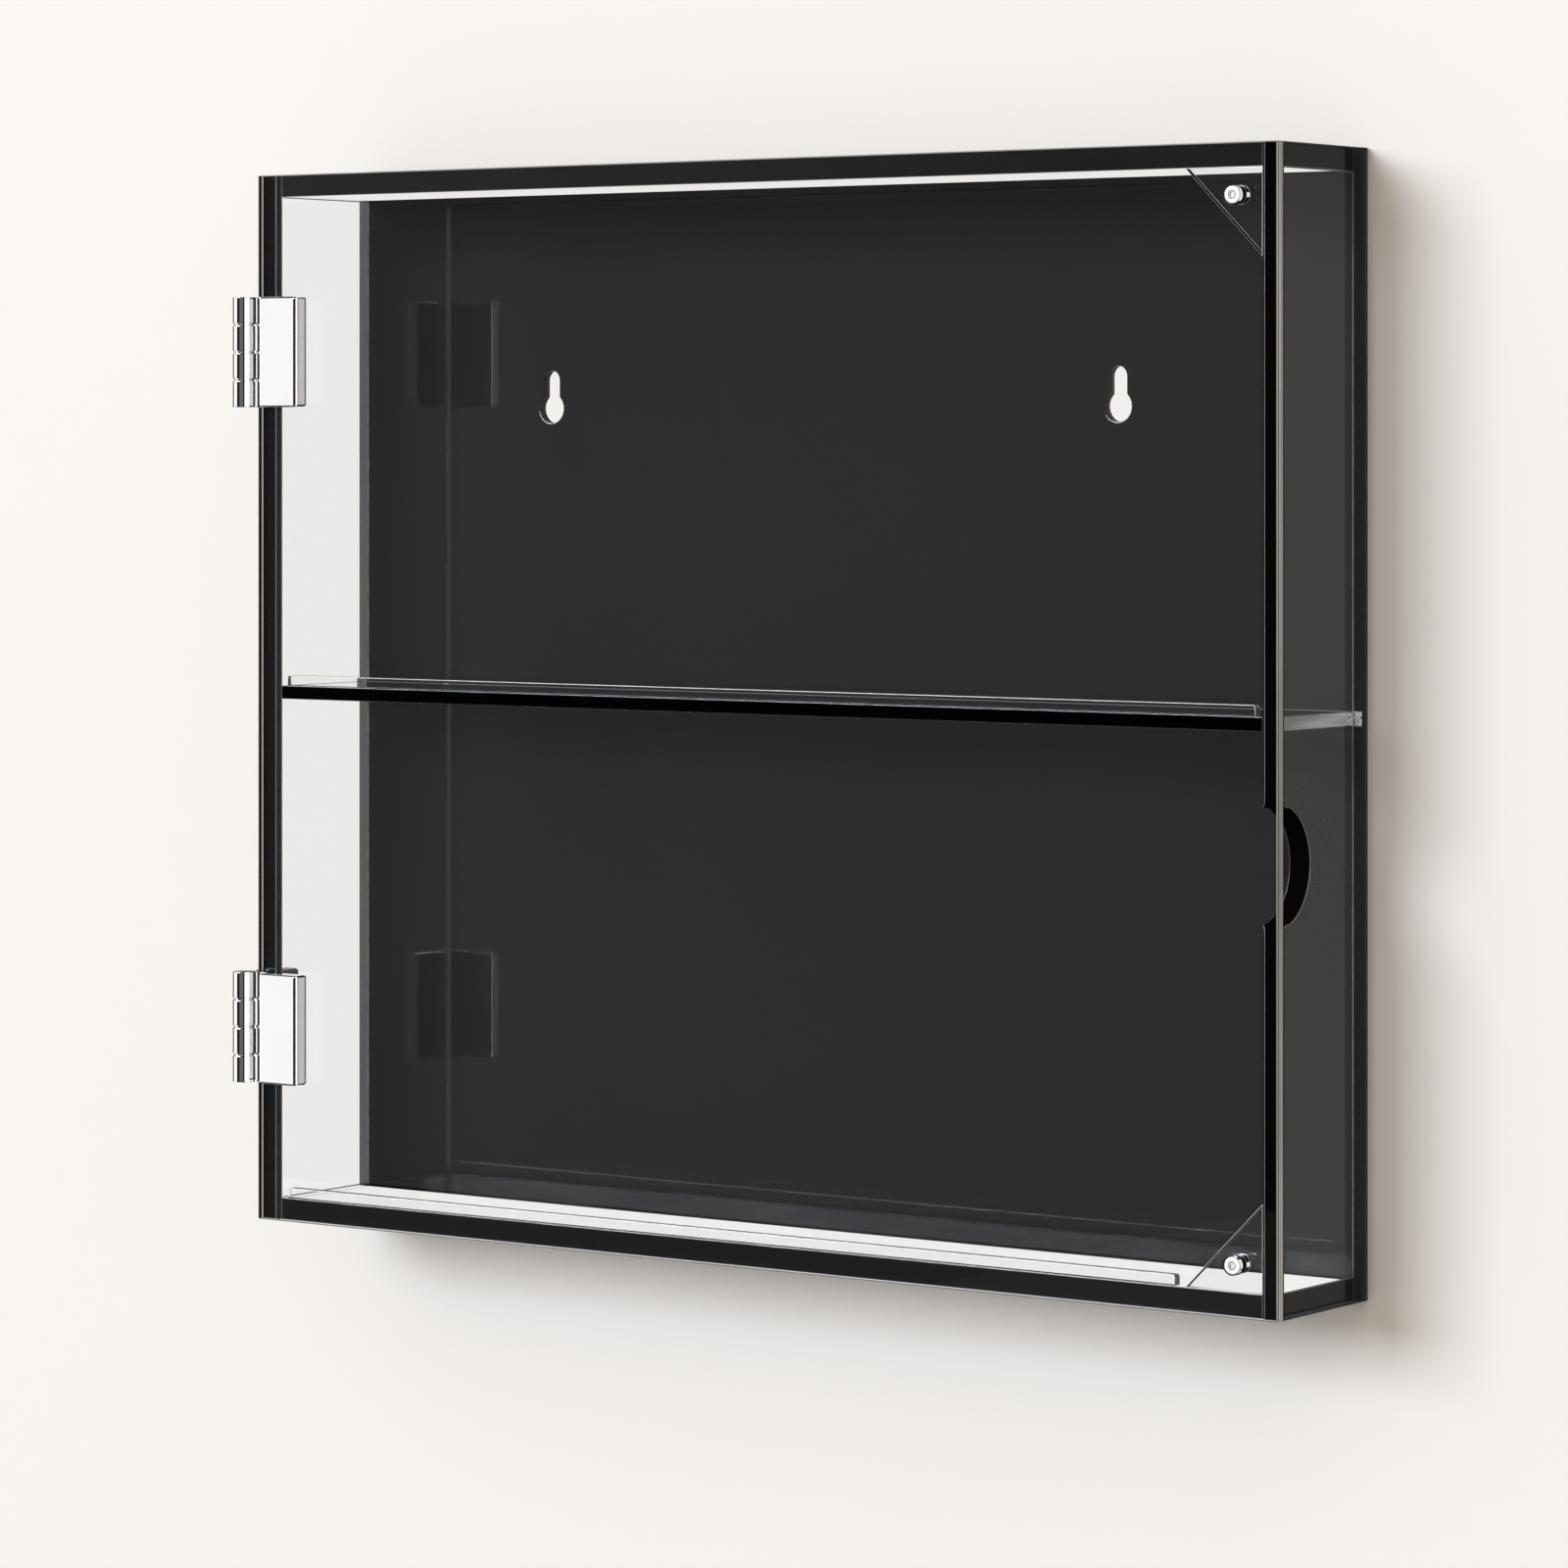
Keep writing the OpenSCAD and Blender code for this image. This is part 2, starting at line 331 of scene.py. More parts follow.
@dataclass(frozen=True)
class ClearAcrylic:
    """Polished clear sheet that bends light and mirrors a little of it."""

    name: str = "clear_acrylic"
    colour: Colour = (0.99, 0.992, 0.994)
    index: float = ACRYLIC_INDEX
    # The most that a face mirrors from outside: the photograph shows hardly any of the wall in it
    most_mirrored: float = 0.022
    # What is left of a lamp's light after one face
    shade: float = 0.6
    # How far the sheet is from flat, as a fine slow ripple in metres
    ripple: float = 0.000002

    def make(self) -> bpy.types.Material:
        """Builds the material."""
        material, tree = new_tree(self.name)
        normal = tree.bump(tree.noise(scale=24.0, detail=1.0), self.ripple)
        bent = tree.add(
            "BsdfRefraction",
            {"Color": (*self.colour, 1), "Roughness": 0.0, "IOR": self.index, "Normal": normal},
        )
        mirror = tree.add("BsdfAnisotropic", {"Color": (1, 1, 1, 1), "Roughness": 0.0, "Normal": normal})
        fresnel = tree.add("Fresnel", {"IOR": self.index, "Normal": normal}).outputs[0]
        inside = tree.maths("GREATER_THAN", fresnel, 0.999)
        share = tree.maths("MAXIMUM", inside, tree.maths("MINIMUM", fresnel, self.most_mirrored))
        glass = tree.blend(share, bent.outputs[0], mirror.outputs[0])
        tree.finish(tree.let_light_by(glass, self.shade))
        return material


@dataclass(frozen=True)
class PaintedEdgeHighlight:
    """The eased corner of a clear sheet, with a painted highlight: a thin grey line whose colour stands
    in for the light that the corner catches.
    """

    name: str
    level: float
    shade: float = 0.6
    # Painted shade in place of the painted highlight: how light it is where it is cemented and where it
    # looks at black
    painted_shade_level: float = 0.003
    # Such a place: it lies inside all of these ranges along axes
    painted_shade_in: tuple[tuple[str, float, float], ...] = ()
    # Two round places of the kind: their x, the two heights and the reach, in metres
    painted_shade_round: tuple[float, float, float, float] | None = None

    def make(self) -> bpy.types.Material:
        """Builds the material."""
        material, tree = new_tree(self.name)
        highlight_noise = tree.noise(scale=90.0, detail=3.0, stretch=(1.0, 1.0, 0.4))
        # Painted highlight: a grey that varies in patches along the corner
        tone = tree.tint(highlight_noise, grey(self.level * 0.75), grey(min(self.level * 1.25, 0.9)))
        free = None
        for axis, low, high in self.painted_shade_in:
            along = tree.place(axis)
            above = tree.maths("GREATER_THAN", along, high)
            below = tree.maths("LESS_THAN", along, low)
            outside = tree.maths("ADD", above, below)
            free = outside if free is None else tree.maths("MAXIMUM", free, outside)
        if free is not None:
            # Painted shade inside the given ranges
            tone = tree.tint(free, grey(self.painted_shade_level), tone)
        if self.painted_shade_round:
            across, lower, upper, reach = self.painted_shade_round
            middle, half = (lower + upper) / 2, (upper - lower) / 2
            height = tree.maths("ABSOLUTE", tree.maths("SUBTRACT", tree.place("Z"), middle))
            up = tree.maths("SUBTRACT", height, half)
            beside = tree.maths("SUBTRACT", tree.place("X"), across)
            squares = tree.maths("MULTIPLY_ADD", up, up, tree.maths("MULTIPLY", beside, beside))
            outside = tree.maths("GREATER_THAN", squares, reach * reach)
            # Painted shade within the reach of the two round places
            tone = tree.tint(outside, grey(self.painted_shade_level), tone)
        shine = tree.spread(highlight_noise, 0.2, 0.32)
        line = tree.add("BsdfPrincipled", {"Base Color": tone, "Roughness": shine})
        tree.finish(tree.let_light_by(line.outputs[0], self.shade))
        return material


@dataclass(frozen=True)
class PaintedLightEdge:
    """Edge of the door sheet, with painted light: bands of painted light and shade stand in for the
    light that the sheet collects and lets out here, in fine streaks.
    """

    name: str
    # Stretches the streaks along the edge
    stretch: Colour = (1.0, 1.0, 0.004)
    # The sheet's front and rear faces, as y in metres
    front: float = -46.35 * MM
    rear: float = -43.35 * MM
    # Painted light and shade: how light the edge is across the sheet, from its front face to its rear
    # face
    painted_light_bands: tuple[tuple[float, float], ...] = (
        (0.0, 0.50),
        (0.14, 0.46),
        (0.19, 0.05),
        (0.26, 0.07),
        (0.32, 0.42),
        (0.62, 0.52),
        (0.72, 0.24),
        (0.82, 0.50),
        (1.0, 0.46),
    )
    shade: float = 0.9
    # Painted light: how light it looks from inside the sheet, at its front and deeper in
    inside: tuple[float, float] = (0.30, 0.03)
    # Between which shares of the sheet's thickness the one turns into the other
    inside_reach: tuple[float, float] = (0.06, 0.5)

    def make(self) -> bpy.types.Material:
        """Builds the material."""
        material, tree = new_tree(self.name)
        across = tree.spread(tree.place("Y"), 0.0, 1.0, (self.front, self.rear))
        ramp = tree.add("ValToRGB", {"Fac": across})
        fill_ramp(ramp.color_ramp, self.painted_light_bands)
        streaks = tree.noise(scale=1500.0, detail=2.0, stretch=self.stretch)
        clouds = tree.noise(scale=14.0, detail=2.0)
        mixed = tree.maths("MULTIPLY_ADD", clouds, 0.35, tree.maths("MULTIPLY", streaks, 0.85))
        share = tree.spread(mixed, 0.45, 1.25, (0.42, 0.78))
        deeper = tree.spread(across, 0.0, 1.0, self.inside_reach)
        inner = tree.tint(deeper, grey(self.inside[0]), grey(self.inside[1]))
        # Painted light that differs as the edge is seen from inside the sheet
        level = tree.tint(tree.add("NewGeometry").outputs["Backfacing"], ramp.outputs[0], inner)
        scaled = tree.add("VectorMath", {0: level, "Scale": share}, operation="SCALE")
        edge = tree.add(
            "BsdfPrincipled",
            {
                "Base Color": scaled.outputs[0],
                "Roughness": tree.spread(streaks, 0.18, 0.34),
                "Specular IOR Level": 0.2,
                "Normal": tree.bump(streaks, depth=0.00001, strength=0.4),
            },
        )
        tree.finish(tree.let_light_by(edge.outputs[0], self.shade))
        return material


@dataclass(frozen=True)
class PaintedShadeEdge:
    """The polished front edge of a sheet, with painted shade: an opaque dark face stands in for the
    black back seen through the sheet's depth.
    """

    name: str
    # Painted shade: how light it is at its left and at its right end
    left: float
    right: float
    # How far those ends are from the middle of the case, in metres
    reach: float = 0.17
    roughness: float = 0.06
    gloss: float = 0.3
    # Painted highlight: how light the edge looks from inside the sheet, where it lets light in
    inside: float = 0.0

    def make(self) -> bpy.types.Material:
        """Builds the material."""
        material, tree = new_tree(self.name)
        across = tree.spread(tree.place("X"), 0.0, 1.0, (-self.reach, self.reach))
        lowered = tree.maths("SUBTRACT", across, 0.25)
        clouded = tree.maths("MULTIPLY_ADD", tree.noise(scale=16.0, detail=2.0), 0.5, lowered)
        # Painted shade that runs from the left end's level to the right end's
        tone = tree.tint(tree.spread(clouded, 0.0, 1.0), grey(self.left), grey(self.right))
        lines = tree.noise(scale=500.0, detail=2.0, stretch=(1.0, 1.0, 0.2))
        shine = tree.spread(lines, self.roughness * 0.7, self.roughness * 1.3)
        body = tree.add(
            "BsdfPrincipled",
            {
                "Base Color": tone,
                "Roughness": shine,
                "IOR": ACRYLIC_INDEX,
                "Specular IOR Level": self.gloss,
                "Normal": tree.bump(lines, depth=0.000002, strength=0.2),
            },
        )
        surface = body.outputs[0]
        if self.inside:
            # Painted highlight, seen from inside the sheet
            lit = tree.shades(lines, self.inside, 0.9, 1.0)
            glow = tree.add("BsdfTranslucent", {"Color": lit})
            behind = tree.add("NewGeometry").outputs["Backfacing"]
            surface = tree.blend(behind, surface, glow.outputs[0])
        tree.finish(surface)
        return material


@dataclass(frozen=True)
class BlackAcrylic:
    """Black sheet with a soft gloss."""

    name: str = "black_acrylic"
    level: float = 0.0236
    roughness: float = 0.004

    def make(self) -> bpy.types.Material:
        """Builds the material."""
        material, tree = new_tree(self.name)
        tone = tree.shades(tree.noise(scale=9.0, detail=4.0), self.level, 0.88, 1.12)
        smear = tree.noise(scale=60.0, detail=3.0)
        shine = tree.spread(smear, self.roughness * 0.8, self.roughness * 1.2)
        normal = tree.bump(tree.noise(scale=14.0, detail=2.0), depth=0.00001, strength=0.2)
        body = tree.add(
            "BsdfPrincipled",
            {"Base Color": tone, "Roughness": shine, "IOR": ACRYLIC_INDEX, "Normal": normal},
        )
        tree.finish(body.outputs[0])
        return material


@dataclass(frozen=True)
class BlackSheetEdge:
    """The black sheet's polished edge."""

    name: str = "black_sheet_edge"
    level: float = 0.009

    def make(self) -> bpy.types.Material:
        """Builds the material."""
        material, tree = new_tree(self.name)
        tone = tree.shades(tree.noise(scale=40.0, detail=3.0), self.level, 0.85, 1.15)
        shine = tree.spread(tree.noise(scale=90.0, detail=2.0), 0.13, 0.2)
        body = tree.add(
            "BsdfPrincipled", {"Base Color": tone, "Roughness": shine, "Specular IOR Level": 0.12}
        )
        tree.finish(body.outputs[0])
        return material


@dataclass(frozen=True)
class BondedBlackAndPaintedShade:
    """A face without gloss: a clear sheet's face cemented to the black back, dark as the joint is, with
    painted light where its level is raised; also the painted shade of metal pieces.
    """

    name: str = "bonded_black"
    level: float = 0.004
    # Where cement gathered white: the heights between which it did, in metres
    smear: tuple[float, float] | None = None

    def make(self) -> bpy.types.Material:
        """Builds the material."""
        material, tree = new_tree(self.name)
        cement = tree.noise(scale=160.0, detail=3.0, stretch=(1.0, 1.0, 0.15))
        tone = tree.shades(cement, self.level, 0.8, 1.3)
        if self.smear:
            low, high = self.smear
            off = tree.maths("ABSOLUTE", tree.maths("SUBTRACT", tree.place("Z"), (low + high) / 2))
            level = tree.maths("LESS_THAN", off, (high - low) / 2)
            spots = tree.spread(tree.noise(scale=1300.0, detail=3.0), 0.0, 1.0, (0.36, 0.52))
            tone = tree.tint(tree.maths("MULTIPLY", level, spots), tone, grey(1.0))
        body = tree.add(
            "BsdfPrincipled", {"Base Color": tone, "Roughness": 0.5, "Specular IOR Level": 0.0}
        )
        tree.finish(body.outputs[0])
        return material


@dataclass(frozen=True)
class CementedEnd:
    """Cement on a clear sheet's end or in a corner: streaked, lit from inside, white where gathered."""

    name: str
    level: float
    # Depth in the case, as y in metres, from which the cement has gathered
    gathered_from: float = 0.0
    # Over what depth the change takes place
    blur: float = 1.5 * MM
    shade: float = 0.6

    def make(self) -> bpy.types.Material:
        """Builds the material."""
        material, tree = new_tree(self.name)
        streaks = tree.noise(scale=420.0, detail=3.0, stretch=(1.0, 0.08, 1.0))
        spots = tree.noise(scale=1100.0, detail=3.0)
        clear_of_cement = tree.spread(streaks, 0.0, 1.0, (0.3, 0.7))
        plain = tree.shades(clear_of_cement, self.level, 0.55, 1.3)
        rough = tree.tint(tree.spread(spots, 0.0, 1.0, (0.36, 0.5)), grey(self.level * 0.4), grey(1.0))
        reach = (self.gathered_from, self.gathered_from + self.blur)
        deep = tree.spread(tree.place("Y"), 0.0, 1.0, reach)
        tone = tree.tint(deep, plain, rough)
        outside = tree.add("BsdfDiffuse", {"Color": tone})
        inside = tree.add("BsdfTranslucent", {"Color": tone})
        end = tree.blend(0.6, outside.outputs[0], inside.outputs[0])
        tree.finish(tree.let_light_by(end, self.shade))
        return material


@dataclass(frozen=True)
class Metal:
    """Plated metal, as bright as its colour, with fine polishing marks."""

    name: str
    colour: Colour
    roughness: float
    marks: float
    marks_scale: float = 700.0
    stretch: Colour = (1.0, 1.0, 0.06)

    def make(self) -> bpy.types.Material:
        """Builds the material."""
        material, tree = new_tree(self.name)
        lines = tree.noise(scale=self.marks_scale, detail=3.0, stretch=self.stretch)
        duller = tuple(part * 0.96 for part in self.colour)
        tone = tree.tint(tree.noise(scale=90.0, detail=2.0), duller, self.colour)
        shine = tree.spread(lines, self.roughness * 0.7, self.roughness * 1.3)
        body = tree.add(
            "BsdfPrincipled",
            {
                "Base Color": tone,
                "Metallic": 1.0,
                "Roughness": shine,
                "Normal": tree.bump(lines, depth=0.000004, strength=self.marks),
            },
        )
        tree.finish(body.outputs[0])
        return material


@dataclass(frozen=True)
class SatinAndPaintedReflection:
    """Satin plating with a painted reflection: a light, mostly matt grey stands in for the room that the
    narrow sides of a leaf and the screws' heads mirror.
    """

    name: str = "satin_painted_reflection"
    # Painted reflection: how light the grey is
    level: float = 0.72
    roughness: float = 0.42
    metallic: float = 0.25
    stretch: Colour = (1.0, 1.0, 0.03)

    def make(self) -> bpy.types.Material:
        """Builds the material."""
        material, tree = new_tree(self.name)
        lines = tree.noise(scale=1400.0, detail=3.0, stretch=self.stretch)
        tone = tree.shades(lines, self.level, 0.92, 1.04)
        body = tree.add(
            "BsdfPrincipled",
            {
                "Base Color": tone,
                "Metallic": self.metallic,
                "Roughness": tree.spread(lines, self.roughness * 0.8, self.roughness * 1.2),
                "Normal": tree.bump(lines, depth=0.00001, strength=0.3),
            },
        )
        tree.finish(body.outputs[0])
        return material


@dataclass(frozen=True)
class FoamPad:
    """Grey bonding pad between a leaf and its sheet."""

    name: str = "bonding_pad"
    level: float = 0.22

    def make(self) -> bpy.types.Material:
        """Builds the material."""
        material, tree = new_tree(self.name)
        grain = tree.noise(scale=2600.0, detail=3.0)
        tone = tree.shades(grain, self.level, 0.8, 1.3)
        normal = tree.bump(grain, depth=0.00003, strength=0.6)
        body = tree.add("BsdfPrincipled", {"Base Color": tone, "Roughness": 0.85, "Normal": normal})
        tree.finish(body.outputs[0])
        return material


@dataclass(frozen=True)
class WallPaint:
    """Matt paint of the wall and floor, pale through glass and in mirrors."""

    name: str = "wall_paint"
    colour: Colour = (0.905, 0.878, 0.850)
    seen_colour: Colour = (0.945, 0.918, 0.893)
    # How much of that pale tone a mirror shows
    in_mirrors: float = 0.35
    # How pale it is through glass after a mirror
    after_mirrors: float = 1.0
    # Painted shade: how much darker the paint is made toward the left than toward the right
    painted_shade_falloff: float = 0.035
    # How much of its light it throws on other surfaces
    thrown: float = 1.0
    # Whether it is not there from behind and for what hangs on it
    open_behind: bool = True
    # How near a thing that hangs on it is
    contact: float = 2 * MM

    def make(self) -> bpy.types.Material:
        """Builds the material."""
        material, tree = new_tree(self.name)
        # Painted shade, darker toward the left
        across = tree.spread(tree.place("X"), 1.0 - self.painted_shade_falloff, 1.0, (-0.4, 0.1))
        cloud = tree.spread(tree.noise(scale=5.0, detail=4.0), 0.985, 1.005)
        level = tree.maths("MULTIPLY", across, cloud)
        tone = tree.tint(level, grey(0.0), self.colour)
        grain = tree.noise(scale=700.0, detail=3.0)
        normal = tree.bump(grain, depth=0.00006, strength=0.25)
        matt = tree.add("BsdfDiffuse", {"Color": tone, "Normal": normal})
        path = tree.add("LightPath").outputs
        mirrored_before = tree.maths("GREATER_THAN", path["Glossy Depth"], 0.5)
        strength = tree.spread(mirrored_before, 1.0, self.after_mirrors)
        pale = tree.add("Emission", {"Color": (*self.seen_colour, 1), "Strength": strength})
        dim = tree.add("Emission", {"Color": (*self.seen_colour, 1), "Strength": self.in_mirrors})
        through = path["Is Transmission Ray"]
        mirrored = tree.maths("SUBTRACT", path["Is Glossy Ray"], through, clamp=True)
        painted = matt.outputs[0]
        if self.thrown < 1:
            held_back = tree.maths("MULTIPLY", path["Is Diffuse Ray"], 1 - self.thrown)
            dark = tree.add("BsdfDiffuse", {"Color": (0, 0, 0, 1)})
            painted = tree.blend(held_back, painted, dark.outputs[0])
        painted = tree.blend(through, painted, pale.outputs[0])
        painted = tree.blend(mirrored, painted, dim.outputs[0])
        if self.open_behind:
            behind = tree.add("NewGeometry").outputs["Backfacing"]
            near = tree.maths("LESS_THAN", path["Ray Length"], self.contact)
            shading = tree.maths("MAXIMUM", path["Is Diffuse Ray"], path["Is Shadow Ray"])
            shading = tree.maths("MAXIMUM", shading, mirrored)
            open_here = tree.maths("MAXIMUM", behind, tree.maths("MULTIPLY", near, shading))
            painted = tree.blend(open_here, painted, tree.add("BsdfTransparent").outputs[0])
        tree.finish(painted)
        return material


# ------------------------------------------------------------------- shaping


def smoothing_group(name: str, limit: float) -> bpy.types.NodeTree:
    """Makes the geometry nodes that shade round faces smooth and keep every corner sharp.

    Args:
        name: the node group's name.
        limit: the angle in degrees below which two faces are shaded as one.

    Returns:
        The node group.
    """
    group = bpy.data.node_groups.new(name, "GeometryNodeTree")
    for direction in ("INPUT", "OUTPUT"):
        group.interface.new_socket("Geometry", in_out=direction, socket_type="NodeSocketGeometry")
    start = group.nodes.new("NodeGroupInput")
    plain = group.nodes.new("GeometryNodeRemoveAttribute")
    plain.inputs["Name"].default_value = "custom_normal"
    faces = group.nodes.new("GeometryNodeSetShadeSmooth")
    edges = group.nodes.new("GeometryNodeSetShadeSmooth")
    edges.domain = "EDGE"
    end = group.nodes.new("NodeGroupOutput")
    angle = group.nodes.new("GeometryNodeInputMeshEdgeAngle")
    gentle = group.nodes.new("ShaderNodeMath")
    gentle.operation = "LESS_THAN"
    gentle.inputs[1].default_value = math.radians(limit)
    group.links.new(angle.outputs["Unsigned Angle"], gentle.inputs[0])
    group.links.new(gentle.outputs[0], edges.inputs["Shade Smooth"])
    steps = [start, plain, faces, edges, end]
    for before, after in zip(steps, steps[1:]):
        group.links.new(before.outputs[0], after.inputs[0])
    return group


@dataclass(frozen=True)
class ProfilePoint:
    """A point of a turned profile: its radius, its place along the axis, and whether it is hexagonal."""

    radius: float
    along: float
    hexagonal: bool = False


@dataclass
class Shape:
    """A mesh under construction, in a frame of its own."""

    mesh: bmesh.types.BMesh = field(default_factory=bmesh.new)

    def block(self, low: Vector, high: Vector, slot: int = 0) -> None:
        """Adds a block.

        Args:
            low: its lowest corner.
            high: its highest corner.
            slot: the material slot of its faces.
        """
        made = bmesh.ops.create_cube(self.mesh, size=1.0)["verts"]
        size, middle = high - low, (high + low) / 2
        for vertex in made:
            vertex.co = Vector(c * s for c, s in zip(vertex.co, size)) + middle
        for face in {face for vertex in made for face in vertex.link_faces}:
            face.material_index = slot

    def round_edges(self, edges: list[bmesh.types.BMEdge], width: float, steps: int) -> None:
        """Rounds edges with a number of steps."""
        bmesh.ops.bevel(
            self.mesh, geom=edges, offset=width, segments=steps, profile=0.5, affect="EDGES"
        )

    def sharp_edges(self, least: float = 40.0) -> list[bmesh.types.BMEdge]:
        """Finds the edges at which the surface turns.

        Args:
            least: the turn, in degrees, from which an edge counts.

        Returns:
            Those edges.
        """
        self.mesh.normal_update()
        limit = math.radians(least)
        return [e for e in self.mesh.edges if len(e.link_faces) == 2 and e.calc_face_angle() > limit]

    def turn(
        self, profile: list[ProfilePoint], place: Callable[[float, float, float], Vector], steps: int
    ) -> None:
        """Adds a turned solid from a profile that starts and ends on the axis.

        Args:
            profile: its points, in order.
            place: maps two coordinates across the axis and one along it to a point.
            steps: faces around it.
        """
        rings = []
        for point in profile:
            ring = []
            for step in range(steps if point.radius > 0 else 1):
                angle = 2 * math.pi * step / steps
                radius = point.radius
                if point.hexagonal:
                    sixth = math.pi / 3
                    radius /= math.cos((angle % sixth) - sixth / 2)
                across = (radius * math.cos(angle), radius * math.sin(angle))
                ring.append(self.mesh.verts.new(place(*across, point.along)))
            rings.append(ring)
        for before, after in zip(rings, rings[1:]):
            for step in range(steps):
                corners = [
                    before[step % len(before)],
                    before[(step + 1) % len(before)],
                    after[(step + 1) % len(after)],
                    after[step % len(after)],
                ]
                self.mesh.faces.new(list(dict.fromkeys(corners)))

    def paint(self, slot: int, fits: Callable[[bmesh.types.BMFace], bool]) -> None:
        """Gives the faces that fit a material slot."""
        self.mesh.normal_update()
        for face in self.mesh.faces:
            if fits(face):
                face.material_index = slot

    def finish(self, name: str, place: Callable[[Vector], Vector] | None = None) -> bpy.types.Object:
        """Turns the shape into an object and links it.

        Args:
            name: the object's name.
            place: maps a point of the shape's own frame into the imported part's frame.

        Returns:
            The object.
        """
        if place is not None:
            for vertex in self.mesh.verts:
                vertex.co = place(vertex.co)
        bmesh.ops.recalc_face_normals(self.mesh, faces=self.mesh.faces)
        for face in self.mesh.faces:
            face.smooth = True
        data = bpy.data.meshes.new(name)
        self.mesh.to_mesh(data)
        self.mesh.free()
        piece = bpy.data.objects.new(name, data)
        bpy.context.scene.collection.objects.link(piece)
        return piece


@dataclass
class Dresser:
    """Gives CAD nodes and new pieces their finishes and their eased edges."""

    nodes: dict[str, bpy.types.Object]
    sheet_smoothing: bpy.types.NodeTree = field(
        default_factory=lambda: smoothing_group("smooth_round_faces", 5.0)
    )
    metal_smoothing: bpy.types.NodeTree = field(
        default_factory=lambda: smoothing_group("smooth_rounded_edges", SHARP_TURN)
    )
    made: dict[str, bpy.types.Material] = field(default_factory=dict)

    def material(self, finish: Finish) -> bpy.types.Material:
        """Returns a finish's material, made once."""
        if finish.name not in self.made:
            self.made[finish.name] = finish.make()
        return self.made[finish.name]

    def coat(self, piece: bpy.types.Object, slot: Slot, *finishes: Finish) -> None:
        """Puts finishes on a piece's slots.

        Args:
            piece: the piece.
            slot: the record's material slot it belongs to; not used.
            *finishes: the finishes, the main one first.
        """
        if piece.data.materials:
            piece.data.materials.clear()
        for finish in finishes:
            piece.data.materials.append(self.material(finish))

    def paint(self, node: str, slot: Slot, *finishes: Finish) -> None:
        """Puts finishes on a CAD node's slots, as coat does."""
        self.coat(self.nodes[node], slot, *finishes)

    def stand_in(self, piece: bpy.types.Object, node: str, body: Body) -> None:
        """Lets a new piece stand for a CAD node and ride on its body."""
        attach(piece, body.value)
        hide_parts(node)

    def allot(self, node: str, index: int, fits: Callable[[Vector, Vector], bool]) -> None:
        """Gives the faces that fit one of the node's slots.

        Args:
            node: the CAD node's name.
            index: the slot's number.
            fits: tells from a face's normal and centre whether it belongs.
        """
        for face in self.nodes[node].data.polygons:
            if fits(face.normal, face.center):
                face.material_index = index

    def ease(self, node: str, width: float, steps: int = 3, line: int = -1) -> None:
        """Rounds a node's sharp edges with modifiers.

        Args:
            node: the CAD node's name.
            width: the rounding's width in metres.
            steps: segments across the rounding.
            line: the slot that the rounding gets, or -1 for its neighbours' slot.
        """
        piece = self.nodes[node]
        weld = piece.modifiers.new("weld", "WELD")
        weld.merge_threshold = 0.002 * MM
        whole = piece.modifiers.new("whole_faces", "DECIMATE")
        whole.decimate_type = "DISSOLVE"
        whole.angle_limit = math.radians(0.4)
        whole.delimit = {"MATERIAL"}
        bevel = piece.modifiers.new("eased_edges", "BEVEL")
        bevel.width = width
        bevel.segments = steps
        bevel.limit_method = "ANGLE"
        bevel.angle_limit = math.radians(SHARP_TURN)
        bevel.material = line
        self.smooth(piece, self.sheet_smoothing)

    def smooth(self, piece: bpy.types.Object, group: bpy.types.NodeTree) -> None:
        """Shades a piece's round faces smooth while its flat faces stay flat.

        Args:
            piece: the piece.
            group: the geometry nodes that tell round from flat.
        """
        smooth = piece.modifiers.new("smooth_round_faces", "NODES")
        smooth.node_group = group
        shading = piece.modifiers.new("flat_faces_stay_flat", "WEIGHTED_NORMAL")
        shading.keep_sharp = True
        shading.weight = 100


# ------------------------------------------------------------ sub-assemblies


